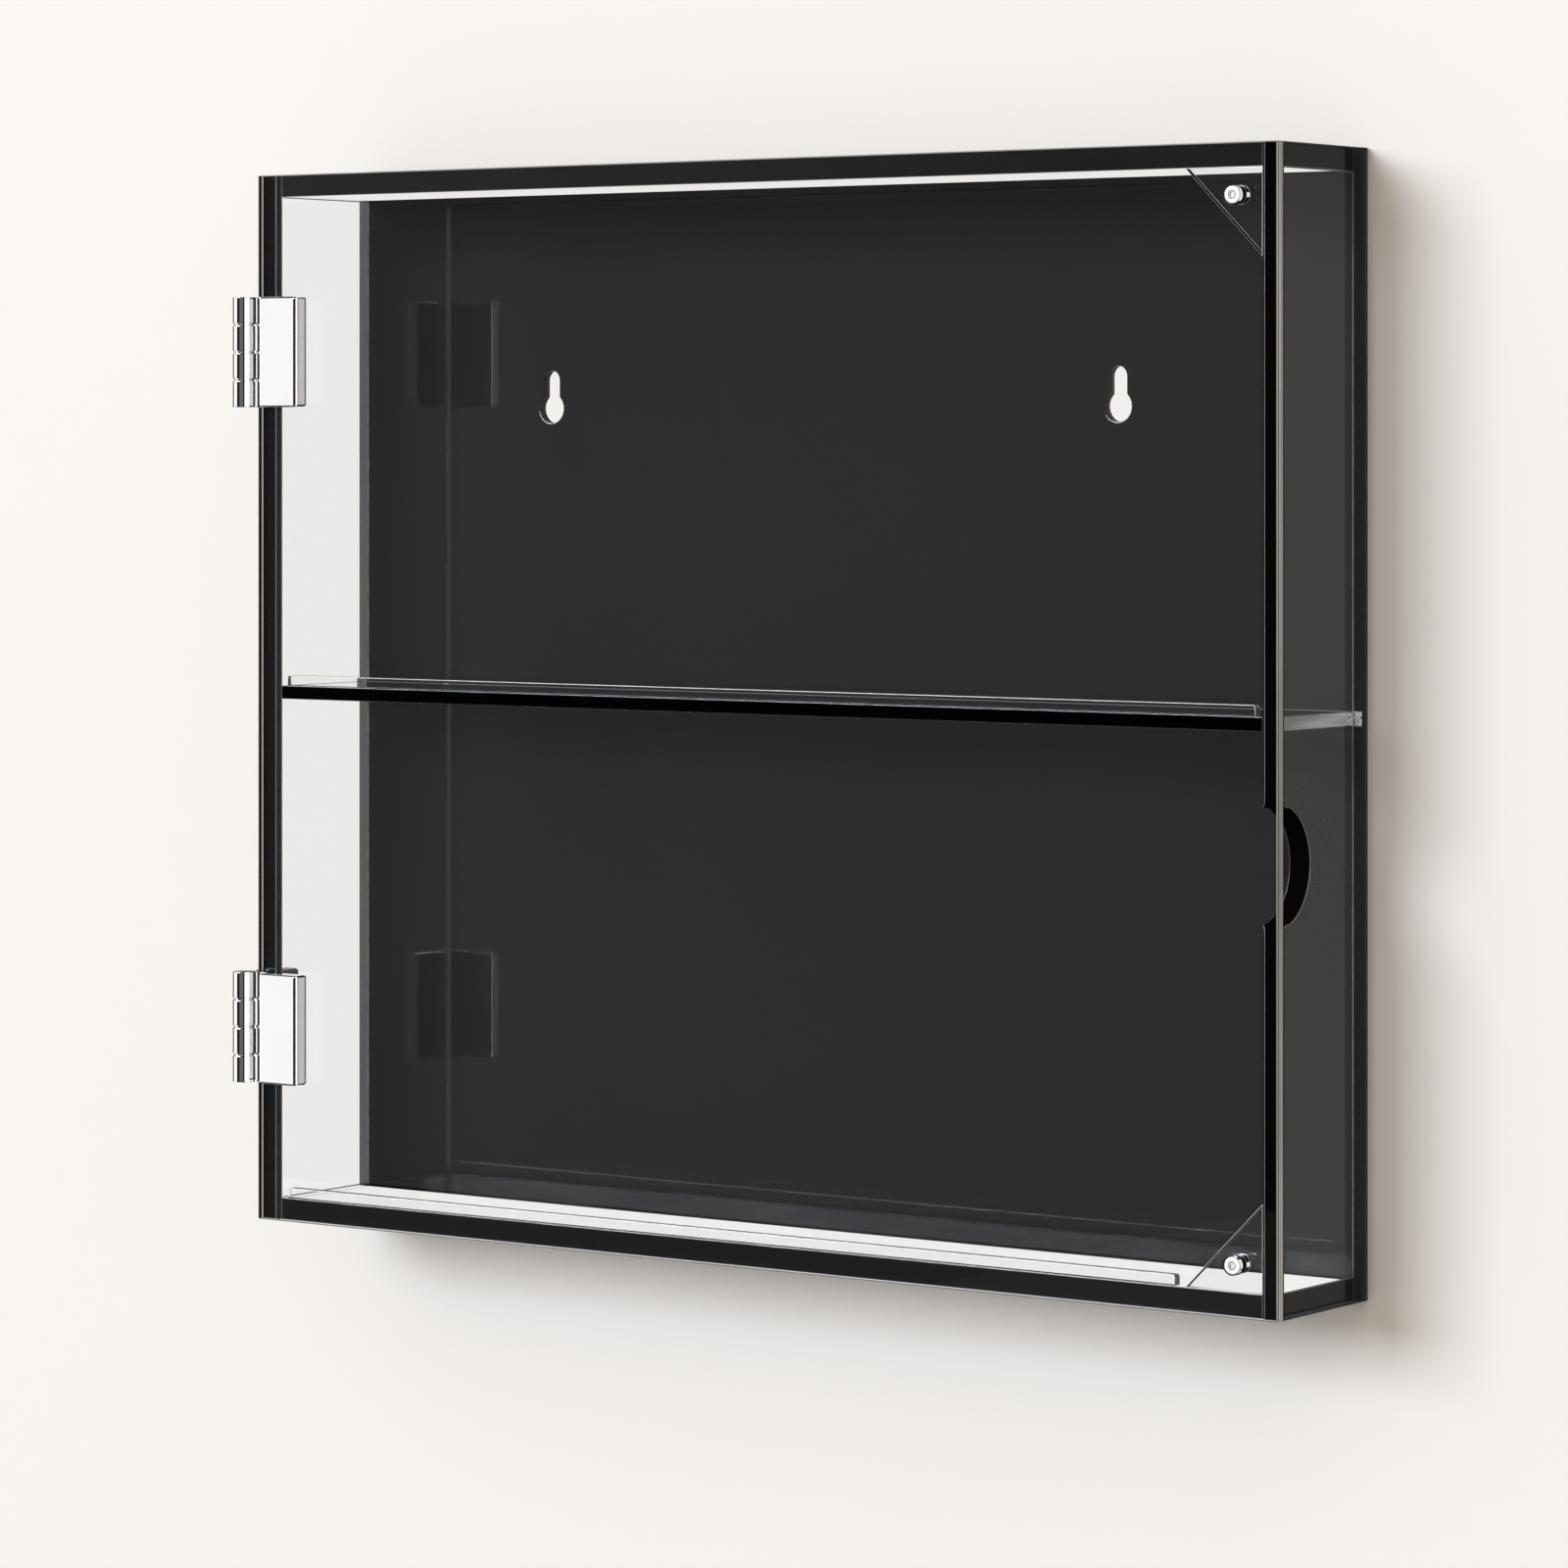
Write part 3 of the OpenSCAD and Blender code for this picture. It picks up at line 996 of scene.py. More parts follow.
@dataclass
class Box:
    """The fixed box: black back, clear sides, top, bottom and shelf."""

    dresser: Dresser
    clear: ClearAcrylic = ClearAcrylic("box_acrylic", shade=0.46)
    left_clear: ClearAcrylic = ClearAcrylic("left_side_acrylic", shade=0.72)
    shelf_clear: ClearAcrylic = ClearAcrylic("shelf_acrylic", shade=0.75)
    # Painted highlights along the eased corners of the sheets and of the shelf
    line: PaintedEdgeHighlight = PaintedEdgeHighlight("box_edge_line", 0.14)
    shelf_line: PaintedEdgeHighlight = PaintedEdgeHighlight("shelf_edge_line", 0.03)
    shelf_end: CementedEnd = CementedEnd("shelf_end", 0.85, -7.4 * MM)
    edge_rounding: float = 0.18 * MM
    back_rounding: float = 0.25 * MM
    front_gloss: float = 0.3
    # The sheets whose front edge mirrors nothing
    dull_fronts: tuple[str, ...] = ("shelf", "right_side_panel")
    # Painted highlight: how light the left side panel's front edge looks from inside the sheet
    left_front_inside: float = 0.9
    # Painted shade: how light the front edge of each sheet looks at its left and at its right end
    painted_edge_shades: dict[str, tuple[float, float]] = field(
        default_factory=lambda: {
            "left_side_panel": (0.006, 0.006),
            "right_side_panel": (0.002, 0.002),
            "top_panel": (0.018, 0.008),
            "bottom_panel": (0.010, 0.009),
            "shelf": (0.0004, 0.0003),
        }
    )
    # Painted light and shade: how light the rear edge looks where it is cemented to the back, the left
    # panel's grey being painted light
    painted_bond_levels: dict[str, float] = field(
        default_factory=lambda: {
            "left_side_panel": 0.14,
            "right_side_panel": 0.018,
            "top_panel": 0.003,
            "bottom_panel": 0.004,
        }
    )
    # Painted shade: how light the right end of the top and of the bottom looks through the side panel
    painted_end_shades: dict[str, float] = field(
        default_factory=lambda: {"top_panel": 0.005, "bottom_panel": 0.009}
    )

    def dress(self) -> list[str]:
        """Dresses the box's nodes and returns their names."""
        back = "back_panel"
        self.dresser.paint(back, Slot.BLACK, BlackAcrylic(), BlackSheetEdge())
        self.dresser.allot(back, 1, self.at_the_back_rim)
        self.dresser.ease(back, self.back_rounding)
        for node in self.painted_bond_levels:
            self.dress_sheet(node)
        self.dress_shelf()
        return [back, *self.painted_edge_shades]

    def at_the_back_rim(self, normal: Vector, centre: Vector) -> bool:
        """Tells the back panel's outer edges from its faces and keyholes.

        Args:
            normal: the normal of one of the panel's faces.
            centre: that face's centre.

        Returns:
            True for an outer edge.
        """
        low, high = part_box("back_panel")
        near = 0.1 * MM
        across = min(centre.x - low.x, high.x - centre.x)
        rim = min(across, centre.z - low.z, high.z - centre.z) < near
        return abs(normal.y) < 0.1 and rim

    def front_edge(self, node: str) -> PaintedShadeEdge:
        """Makes the finish of a sheet's front edge, with its painted shade.

        Args:
            node: the sheet's name.

        Returns:
            The finish.
        """
        left, right = self.painted_edge_shades[node]
        gloss = 0.0 if node in self.dull_fronts else self.front_gloss
        inside = self.left_front_inside if node == "left_side_panel" else 0.0
        return PaintedShadeEdge(f"{node}_front_edge", left, right, gloss=gloss, inside=inside)

    def corner_line(self, node: str) -> PaintedEdgeHighlight:
        """Makes the painted highlight of a sheet's corners, with painted shade at the right panel's
        outer front corner.

        Args:
            node: the sheet's name.

        Returns:
            The finish.
        """
        if node != "right_side_panel":
            return self.line
        low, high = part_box(node)
        near = 2 * self.edge_rounding
        # Painted shade where the outer front corner looks at black
        dark = (("X", high.x - near, high.x + near), ("Y", low.y - near, low.y + near))
        return PaintedEdgeHighlight("right_side_edge_line", self.line.level, painted_shade_in=dark)

    def dress_sheet(self, node: str) -> None:
        """Dresses one of the four outer sheets.

        Args:
            node: the sheet's name.
        """
        clear = self.left_clear if node == "left_side_panel" else self.clear
        shelf_low, shelf_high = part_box("shelf")
        smear = (shelf_low.z, shelf_high.z) if node == "right_side_panel" else None
        bond = BondedBlackAndPaintedShade(f"{node}_bond", self.painted_bond_levels[node], smear)
        finishes = [clear, bond, self.front_edge(node), self.corner_line(node)]
        if node in self.painted_end_shades:
            level = self.painted_end_shades[node]
            finishes.append(PaintedShadeEdge(f"{node}_end", level, level, gloss=0.0))
        self.dresser.paint(node, Slot.CLEAR, *finishes)
        self.allot_edge(node, Side.REAR_EDGE, Way.REAR)
        self.allot_edge(node, Side.FRONT_EDGE, Way.FRONT)
        if node in self.painted_end_shades:
            self.allot_edge(node, Side.END, Way.RIGHT)
        if node == "right_side_panel":
            self.dresser.allot(node, Side.FRONT_EDGE, self.in_the_notch)
        if node.endswith("side_panel"):
            self.dresser.allot(node, Side.FRONT_EDGE, self.on_the_bevel)
        self.dresser.ease(node, self.edge_rounding, line=Side.CORNER_LINE)

    def allot_edge(self, node: str, side: Side, way: Way) -> None:
        """Gives the faces of a sheet that look one way a slot.

        Args:
            node: the sheet's name.
            side: the slot.
            way: the way.
        """
        self.dresser.allot(node, side, lambda normal, _centre: way.meets(normal))

    def on_the_bevel(self, normal: Vector, _centre: Vector) -> bool:
        """True for the bevel at the inner front corner of a side panel."""
        return abs(normal.x) > 0.5 and normal.y < -0.5

    def in_the_notch(self, normal: Vector, centre: Vector) -> bool:
        """Tells the cut of the right side panel's finger notch from the panel's outer edges.

        Args:
            normal: the normal of one of the panel's faces.
            centre: that face's centre.

        Returns:
            True for the cut.
        """
        low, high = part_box("right_side_panel")
        inside = 0.5 * MM
        cut = abs(normal.x) < 0.3 and not Way.REAR.meets(normal)
        return cut and low.z + inside < centre.z < high.z - inside

    def dress_shelf(self) -> None:
        """Dresses the shelf, whose ends are cemented to the sides."""
        finishes = [self.shelf_clear, self.shelf_end, self.front_edge("shelf"), self.shelf_line]
        self.dresser.paint("shelf", Slot.CLEAR, *finishes)
        # The shelf is not bonded at its rear, so its right end has that slot
        self.allot_edge("shelf", Side.REAR_EDGE, Way.RIGHT)
        self.allot_edge("shelf", Side.FRONT_EDGE, Way.FRONT)
        self.dresser.ease("shelf", self.edge_rounding, line=Side.CORNER_LINE)


@dataclass
class CementSeams:
    """The beads of cement in the corners of the side panels with the back, the top and the bottom."""

    dresser: Dresser
    bead: float = 0.28 * MM
    clearance: float = 0.03 * MM
    # How far behind the front of the top and bottom the level beads start
    front_inset: float = 0.6 * MM
    # Segments of a bead's hollow side
    steps: int = 5
    # The beads' cement, partly real and partly painted highlight: its light grey, lighter on the upright
    # beads, stands in for the light lines along the joints
    finish: CementedEnd = CementedEnd("cement_bead", 0.85)
    level_finish: CementedEnd = CementedEnd("level_cement_bead", 0.36)

    def build(self) -> list[str]:
        """Builds the beads, dresses them and returns the piece's name."""
        shape = Shape()
        back_low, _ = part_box("back_panel")
        _, left_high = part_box("left_side_panel")
        right_low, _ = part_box("right_side_panel")
        _, floor_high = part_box("bottom_panel")
        top_low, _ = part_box("top_panel")
        low_z, high_z = floor_high.z + self.clearance, top_low.z - self.clearance
        rear = back_low.y - self.clearance
        front = top_low.y + self.front_inset
        corners = [
            (left_high.x + self.clearance, 1.0),
            (right_low.x - self.clearance, -1.0),
        ]
        for side, toward in corners:
            outline = self.outline(side, rear, toward, -1.0)
            ends = [[(point.x, point.y, height) for point in outline] for height in (low_z, high_z)]
            self.add_bead(shape, ends)
        upright = len(shape.mesh.faces)
        for side, toward in corners:
            for height, up in ((low_z, 1.0), (high_z, -1.0)):
                outline = self.outline(side, height, toward, up)
                reach = (front, rear - self.bead)
                ends = [[(point.x, depth, point.y) for point in outline] for depth in reach]
                self.add_bead(shape, ends)
        for index, face in enumerate(shape.mesh.faces):
            face.material_index = int(index >= upright)
        piece = shape.finish("cement_seams")
        self.dresser.coat(piece, Slot.CLEAR, self.finish, self.level_finish)
        self.dresser.smooth(piece, self.dresser.metal_smoothing)
        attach(piece, Body.CASE.value)
        return [piece.name]

    def outline(self, first: float, second: float, along: float, out: float) -> list[Vector]:
        """Returns a bead's outline, hollow on its open side, as the cement draws up into the corner.

        Args:
            first: the corner's place on the first axis.
            second: the corner's place on the second axis.
            along: 1 or -1, the way in which it lies on the first axis.
            out: 1 or -1, the way in which it lies on the second axis.

        Returns:
            The outline's points.
        """
        points = [Vector((first, second))]
        for step in range(self.steps + 1):
            turn = math.pi / 2 * step / self.steps
            across = self.bead * (1 - math.sin(turn))
            away = self.bead * (1 - math.cos(turn))
            points.append(Vector((first + along * across, second + out * away)))
        return points

    def add_bead(self, shape: Shape, ends: list[list[tuple[float, float, float]]]) -> None:
        """Adds a bead between its two end outlines.

        Args:
            shape: the shape it is added to.
            ends: the points of its two ends.
        """
        rings = [[shape.mesh.verts.new(point) for point in end] for end in ends]
        count = len(rings[0])
        for index in range(count):
            after = (index + 1) % count
            shape.mesh.faces.new([rings[0][index], rings[0][after], rings[1][after], rings[1][index]])
        for ring in rings:
            shape.mesh.faces.new(ring)


@dataclass
class CardStops:
    """The two low bars that keep the cards from sliding out."""

    dresser: Dresser
    clear: ClearAcrylic = ClearAcrylic("stop_acrylic", shade=0.85)
    # How light the painted highlight along the stops' eased corners is
    line_level: float = 0.85
    rounding: float = 0.15 * MM

    def dress(self) -> list[str]:
        """Dresses the stops, whose lower corners are cemented down, and returns their names."""
        names = ["shelf_card_stop", "bottom_card_stop"]
        for node in names:
            low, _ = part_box(node)
            # Painted shade in place of the highlight along the cemented foot
            foot = (("Z", low.z - self.rounding, low.z + 2 * self.rounding),)
            line = PaintedEdgeHighlight(f"{node}_edge_line", self.line_level, painted_shade_in=foot)
            self.dresser.paint(node, Slot.CLEAR, self.clear, line)
            self.dresser.ease(node, self.rounding, line=1)
        return names


@dataclass
class Catches:
    """The corner gussets with the case's magnets, and the door's magnets and screws."""

    dresser: Dresser
    clear: ClearAcrylic = ClearAcrylic("gusset_acrylic", shade=0.85)
    # Painted highlight along the gussets' eased corners, and painted shade on their slanting side
    line: PaintedEdgeHighlight = PaintedEdgeHighlight("gusset_edge_line", 0.9)
    slope: PaintedShadeEdge = PaintedShadeEdge("gusset_slope", 0.012, 0.012, gloss=0.0)
    # The door's magnets, and the darker ones in the gussets
    nickel: Metal = Metal("magnet_nickel", (0.20, 0.20, 0.195), 0.16, 0.4, 1500.0, (1.0, 1.0, 1.0))
    darker_nickel: Metal = Metal("darker_nickel", (0.05, 0.05, 0.05), 0.2, 0.4, 1500.0, (1.0, 1.0, 1.0))
    # Painted reflection: the screws' heads are a light, mostly matt grey
    steel: SatinAndPaintedReflection = SatinAndPaintedReflection("screw_steel", 0.78, 0.5, 0.1, (1.0, 1.0, 1.0))
    # Painted shade in the sockets and the rings' grooves
    socket_shade: BondedBlackAndPaintedShade = BondedBlackAndPaintedShade("screw_painted_shade", 0.10)
    # How much smaller than its hole the head is
    head_clearance: float = 0.14 * MM
    rounding: float = 0.28 * MM
    head_chamfer: float = 0.2 * MM
    head_thickness: float = 0.9 * MM
    shank_radius: float = 0.8 * MM
    ring_radius: float = 1.05 * MM
    ring_width: float = 0.26 * MM
    ring_depth: float = 0.12 * MM
    socket_half_width: float = 0.72 * MM
    socket_depth: float = 0.45 * MM
    # Faces around a screw, a multiple of its socket's six
    screw_facets: int = 48
    magnet_rounding: float = 0.08 * MM

    def dress(self) -> list[str]:
        """Builds and dresses the catches and returns their names."""
        gussets = ["upper_gusset", "lower_gusset"]
        for node in gussets:
            self.dresser.paint(node, Slot.CLEAR, self.clear, self.line, self.slope)
            self.dresser.allot(node, 2, self.on_the_slope)
            self.dresser.ease(node, self.rounding, line=1)
        magnets = ["upper_case_magnet", "lower_case_magnet", "upper_door_magnet", "lower_door_magnet"]
        for node in magnets:
            finish = self.nickel if "door" in node else self.darker_nickel
            self.dresser.paint(node, Slot.NICKEL, finish)
            self.dresser.ease(node, self.magnet_rounding, 2)
        return gussets + magnets + [self.build_screws()]

    def on_the_slope(self, normal: Vector, _centre: Vector) -> bool:
        """True for a gusset's slanting side."""
        return min(abs(normal.x), abs(normal.z)) > 0.3

    def build_screws(self) -> str:
        """Builds the two socket screws with a ring cut in each head, and returns the piece's name."""
        low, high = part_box("catch_screws")
        radius = (high.x - low.x) / 2
        centre_x = (low.x + high.x) / 2
        depth = high.y - low.y
        half_ring = self.ring_width / 2
        head = radius - self.head_clearance
        profile = [
            ProfilePoint(0.0, self.socket_depth),
            ProfilePoint(self.socket_half_width, self.socket_depth, True),
            ProfilePoint(self.socket_half_width, 0.0, True),
            ProfilePoint(self.ring_radius - half_ring, 0.0),
            ProfilePoint(self.ring_radius, self.ring_depth),
            ProfilePoint(self.ring_radius + half_ring, 0.0),
            ProfilePoint(head - self.head_chamfer, 0.0),
            ProfilePoint(head - self.head_chamfer * 0.3, self.head_chamfer * 0.3),
            ProfilePoint(head, self.head_chamfer),
            ProfilePoint(head, self.head_thickness),
            ProfilePoint(self.shank_radius, self.head_thickness),
            ProfilePoint(self.shank_radius, depth),
            ProfilePoint(0.0, depth),
        ]
        shape = Shape()
        for centre_z in (low.z + radius, high.z - radius):

            def place(across: float, up: float, along: float, height: float = centre_z) -> Vector:
                """Maps the screw's own coordinates into the door."""
                return Vector((centre_x + across, low.y + along, height + up))

            shape.turn(profile, place, self.screw_facets)
        self.paint_shade_in_recesses(shape, low.y)
        piece = shape.finish("catch_screw_heads")
        self.dresser.coat(piece, Slot.NICKEL, self.steel, self.socket_shade)
        self.dresser.smooth(piece, self.dresser.metal_smoothing)
        self.dresser.stand_in(piece, "catch_screws", Body.DOOR)
        return piece.name

    def paint_shade_in_recesses(self, shape: Shape, face: float) -> None:
        """Gives the walls of the sockets and the grooves of the rings painted shade.

        Args:
            shape: the screws.
            face: the place of the heads' face in y.
        """

        def in_a_socket(part: bmesh.types.BMFace) -> bool:
            """True for a face of a socket's wall."""
            behind = part.calc_center_median().y - face
            width = max(edge.calc_length() for edge in part.edges)
            upright = abs(part.normal.y) < 0.1
            return upright and 0.1 * MM < behind < 0.3 * MM and width < 0.6 * MM

        def in_a_ring(part: bmesh.types.BMFace) -> bool:
            """True for a face of a ring's groove."""
            behind = part.calc_center_median().y - face
            sloping = 0.1 < abs(part.normal.y) < 0.9
            return sloping and behind < self.ring_depth * 0.6 and not self.beyond_the_ring(part)

        shape.paint(1, in_a_socket)
        shape.paint(1, in_a_ring)

    def beyond_the_ring(self, part: bmesh.types.BMFace) -> bool:
        """Tells a face of a head's chamfer from one of its ring.

        Args:
            part: the face.

        Returns:
            True if it lies further from the screw's axis than the ring.
        """
        low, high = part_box("catch_screws")
        radius = (high.x - low.x) / 2
        centre = part.calc_center_median()
        middles = (low.z + radius, high.z - radius)
        across = centre.x - (low.x + high.x) / 2
        away = min(math.hypot(across, centre.z - middle) for middle in middles)
        return away > self.ring_radius + self.ring_width


@dataclass
class Door:
    """The clear door panel."""

    dresser: Dresser
    clear: ClearAcrylic = ClearAcrylic("door_acrylic", shade=0.95)
    # How light the painted highlight along the door's eased corners is
    line_level: float = 0.3
    upright_edge: PaintedLightEdge = PaintedLightEdge("door_upright_edge")
    level_edge: PaintedLightEdge = PaintedLightEdge("door_level_edge", stretch=(0.004, 1.0, 1.0))
    rounding: float = 0.2 * MM
    # How far the painted shade on the corners of the screw holes reaches beyond the screws' heads
    hole_margin: float = 0.6 * MM

    def dress(self) -> list[str]:
        """Dresses the door and returns its name."""
        node = "door_panel"
        screws_low, screws_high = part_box("catch_screws")
        radius = (screws_high.x - screws_low.x) / 2
        heights = (screws_low.z + radius, screws_high.z - radius)
        holes = (screws_low.x + radius, *heights, radius + self.hole_margin)
        line = PaintedEdgeHighlight("door_edge_line", self.line_level, painted_shade_round=holes)
        self.dresser.paint(node, Slot.CLEAR, self.clear, line, self.upright_edge, self.level_edge)
        low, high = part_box(node)
        near = 0.5 * MM

        def at_the_sides(normal: Vector, centre: Vector) -> bool:
            """True for a face of the door's left or right edge."""
            return abs(normal.x) > 0.9 and min(centre.x - low.x, high.x - centre.x) < near

        def at_top_or_bottom(normal: Vector, centre: Vector) -> bool:
            """True for a face of the door's top or bottom edge."""
            return abs(normal.z) > 0.9 and min(centre.z - low.z, high.z - centre.z) < near

        self.dresser.allot(node, 2, at_the_sides)
        self.dresser.allot(node, 3, at_top_or_bottom)
        self.dresser.ease(node, self.rounding, line=1)
        return [node]


@dataclass(frozen=True)
class Leaf:
    """One of a hinge's two leaves: its name and body, and the knuckles it has."""

    part: str
    body: Body
    knuckles: tuple[int, ...]
    # Whether the leaf lies along +Y on the case's side instead of along +X on the door
    turned: bool


@dataclass
class Hinges:
    """The two chromed hinges: their leaves, pins and bonding pads."""

    dresser: Dresser
    chrome: Metal = Metal("hinge_chrome", (0.90, 0.90, 0.905), 0.035, 0.1)
    # Painted reflection on the leaves' narrow sides
    side: SatinAndPaintedReflection = SatinAndPaintedReflection(level=0.8)
    # Painted shade in the web's groove, and painted dark reflection on strips of the far edge
    shadow: BondedBlackAndPaintedShade = BondedBlackAndPaintedShade("hinge_painted_shade", 0.02)
    barrel_radius: float = 3.4 * MM
    knuckle_count: int = 4
    knuckle_gap: float = 0.2 * MM
    knuckle_rounding: float = 0.2 * MM
    # The narrower collar at both ends of a knuckle
    collar_radius: float = 2.95 * MM
    collar_length: float = 0.22 * MM
    # From the pin's axis to the leaf's near edge
    leaf_start: float = 7.25 * MM
    # The leaf's front and back, measured from the pin's axis
    leaf_front: float = -2.25 * MM
    leaf_back: float = 2.35 * MM
    leaf_rounding: float = 1.05 * MM
    small_rounding: float = 0.7 * MM
    # Painted reflection: between which turns of the far edge's rounding its strips are painted dark, in
    # degrees
    painted_dark_strips: tuple[float, float] = (8.0, 46.0)
    # The web between knuckle and leaf: its front and back, measured from the pin's axis
    web_front: float = 0.85 * MM
    web_back: float = 2.25 * MM
    # The relief groove across the web, and how deep it is
    groove: tuple[float, float] = (4.05 * MM, 4.6 * MM)
    groove_depth: float = 0.8 * MM
    # Clearance of the web beside the other leaf's knuckle
    web_clearance: float = 0.35 * MM
    pin_radius: float = 1.25 * MM
    washer_height: float = 0.13 * MM
    # Faces around a pin and around a knuckle
    pin_facets: int = 64
    knuckle_facets: int = 96
    # Segments of the roundings of the leaf's far edge, of its other edges and of a knuckle's ends
    far_edge_steps: int = 9
    small_steps: int = 5
    shoulder_steps: int = 5
    # How far a web reaches into its leaf's plate
    web_overlap: float = 0.5 * MM

    def dress(self) -> list[str]:
        """Builds and dresses both hinges and returns the names of their pieces."""
        leaves = (
            Leaf("door_leaf", Body.DOOR, (0, 2), False),
            Leaf("case_leaf", Body.CASE, (1, 3), True),
        )
        names = []
        for height in ("upper", "lower"):
            for leaf in leaves:
                names.append(self.build_leaf(f"{height}_{leaf.part}", leaf))
                pad = f"{height}_{leaf.part}_pad"
                self.dresser.paint(pad, Slot.PAD, FoamPad())
                names.append(pad)
            names.append(self.build_pin(f"{height}_hinge_pin", f"{height}_door_leaf"))
        return names

    def build_pin(self, node: str, leaf: str) -> str:
        """Builds a hinge's pin with a thin washer between each two knuckles.

        Args:
            node: the CAD node that it stands for.
            leaf: the CAD node of a leaf of the same hinge.

        Returns:
            The piece's name.
        """
        low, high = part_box(node)
        middle = (low + high) / 2
        leaf_low, leaf_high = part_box(leaf)
        pitch = (leaf_high.z - leaf_low.z + self.knuckle_gap) / self.knuckle_count
        half = self.washer_height / 2
        profile = [ProfilePoint(0.0, low.z), ProfilePoint(self.pin_radius, low.z)]
        for index in range(1, self.knuckle_count):
            level = leaf_low.z + index * pitch - self.knuckle_gap / 2
            for radius, along in (
                (self.pin_radius, level - half),
                (self.collar_radius, level - half),
                (self.collar_radius, level + half),
                (self.pin_radius, level + half),
            ):
                profile.append(ProfilePoint(radius, along))
        profile += [ProfilePoint(self.pin_radius, high.z), ProfilePoint(0.0, high.z)]

        def place(across: float, out: float, along: float) -> Vector:
            """Maps the pin's own coordinates into the hinge."""
            return Vector((middle.x + across, middle.y + out, along))

        shape = Shape()
        shape.turn(profile, place, self.pin_facets)
        piece = shape.finish(f"{node}_turned")
        self.dresser.coat(piece, Slot.CHROME, self.chrome)
        self.dresser.smooth(piece, self.dresser.metal_smoothing)
        self.dresser.stand_in(piece, node, Body.CASE)
        return piece.name

    def build_leaf(self, node: str, leaf: Leaf) -> str:
        """Builds one leaf in place of its CAD node.

        Args:
            node: the CAD node that it stands for.
            leaf: which leaf it is.

        Returns:
            The piece's name.
        """
        low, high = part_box(node)
        axis = Vector((low.x + self.barrel_radius, low.y + self.barrel_radius, low.z))
        length = (high.y if leaf.turned else high.x) - (axis.y if leaf.turned else axis.x)
        height = high.z - low.z
        shape = Shape()
        self.add_plate(shape, length, height)
        pitch = (height + self.knuckle_gap) / self.knuckle_count
        for index in range(self.knuckle_count):
            reach = (index * pitch, (index + 1) * pitch - self.knuckle_gap)
            own = index in leaf.knuckles
            if own:
                collars = (index > 0, index < self.knuckle_count - 1)
                self.add_knuckle(shape, reach, collars)
            self.add_web(shape, reach, 0.0 if own else self.barrel_radius + self.web_clearance)

        def place(point: Vector) -> Vector:
            """Maps the hinge's own frame onto the door or the case's side."""
            across = Vector((point.y, point.x, point.z)) if leaf.turned else point
            return axis + across

        piece = shape.finish(f"{node}_plated", place)
        self.dresser.coat(piece, Slot.CHROME, self.chrome, self.side, self.shadow)
        self.dresser.smooth(piece, self.dresser.metal_smoothing)
        self.dresser.stand_in(piece, node, leaf.body)
        return piece.name

    def add_plate(self, shape: Shape, length: float, height: float) -> None:
        """Adds the leaf's plate with softly rounded upright edges in front.

        Args:
            shape: the shape it is added to.
            length: from the pin's axis to the plate's far edge.
            height: the plate's height.
        """
        low = Vector((self.leaf_start, self.leaf_front, 0.0))
        shape.block(low, Vector((length, self.leaf_back, height)))
        far_edge = [
            edge
            for edge in shape.mesh.edges
            if all((vertex.co.xy - Vector((length, low.y))).length < 1e-6 for vertex in edge.verts)
        ]
        shape.round_edges(far_edge, self.leaf_rounding, self.far_edge_steps)
        shape.round_edges(shape.sharp_edges(), self.small_rounding, self.small_steps)
        # Painted reflection on the narrow sides, and painted dark reflection on strips of the far edge's
        # rounding
        shape.paint(1, lambda face: abs(face.normal.x) > 0.999)
        shape.paint(2, self.on_the_painted_dark_line)

    def on_the_painted_dark_line(self, face: bmesh.types.BMFace) -> bool:
        """Finds the strips of the far edge's rounding that get a painted dark reflection.

        Args:
            face: a face of the plate.

        Returns:
            True for a face of these strips.
        """
        low, high = self.painted_dark_strips
        turned = math.degrees(math.atan2(face.normal.x, -face.normal.y))
        return low < turned < high and abs(face.normal.z) < 0.01

    def shoulder(self, end: float, inward: float, collar: bool) -> list[ProfilePoint]:
        """Returns the profile of one end of a knuckle, from the axis outward.

        Args:
            end: the end's place along the axis.
            inward: 1 or -1, the way along the axis into the knuckle.
            collar: whether the end has a narrower collar.

        Returns:
            The points of the profile.
        """
        radius, rounding = self.barrel_radius, self.knuckle_rounding
        points = [ProfilePoint(0.0, end)]
        if collar:
            points.append(ProfilePoint(self.collar_radius, end))
            end += inward * self.collar_length
            points.append(ProfilePoint(self.collar_radius, end))
        for step in range(self.shoulder_steps + 1):
            turn = math.pi / 2 * step / self.shoulder_steps
            across = radius - rounding * (1 - math.sin(turn))
            points.append(ProfilePoint(across, end + inward * rounding * (1 - math.cos(turn))))
        return points

    def add_knuckle(
        self, shape: Shape, reach: tuple[float, float], collars: tuple[bool, bool]
    ) -> None:
        """Adds a knuckle of the barrel.

        Args:
            shape: the shape it is added to.
            reach: its lower and upper end.
            collars: whether it has a collar at its lower and at its upper end.
        """
        lower = self.shoulder(reach[0], 1.0, collars[0])
        upper = self.shoulder(reach[1], -1.0, collars[1])
        profile = lower + upper[::-1]
        shape.turn(profile, lambda across, out, along: Vector((across, out, along)), self.knuckle_facets)

    def add_web(self, shape: Shape, reach: tuple[float, float], start: float) -> None:
        """Adds the web between a knuckle and the plate, with its relief groove.

        Args:
            shape: the shape it is added to.
            reach: its lower and upper end.
            start: where it starts, measured from the pin's axis.
        """
        inner, outer = self.groove
        end = self.leaf_start + self.web_overlap
        floor = self.web_front + self.groove_depth
        for near, far, front, slot in (
            (start, inner, self.web_front, 0),
            # The groove's floor gets painted shade
            (inner, outer, floor, 2),
            (outer, end, self.web_front, 0),
        ):
            low = Vector((near, front, reach[0]))
            shape.block(low, Vector((far, self.web_back, reach[1])), slot)


# --------------------------------------------------------------------- studio


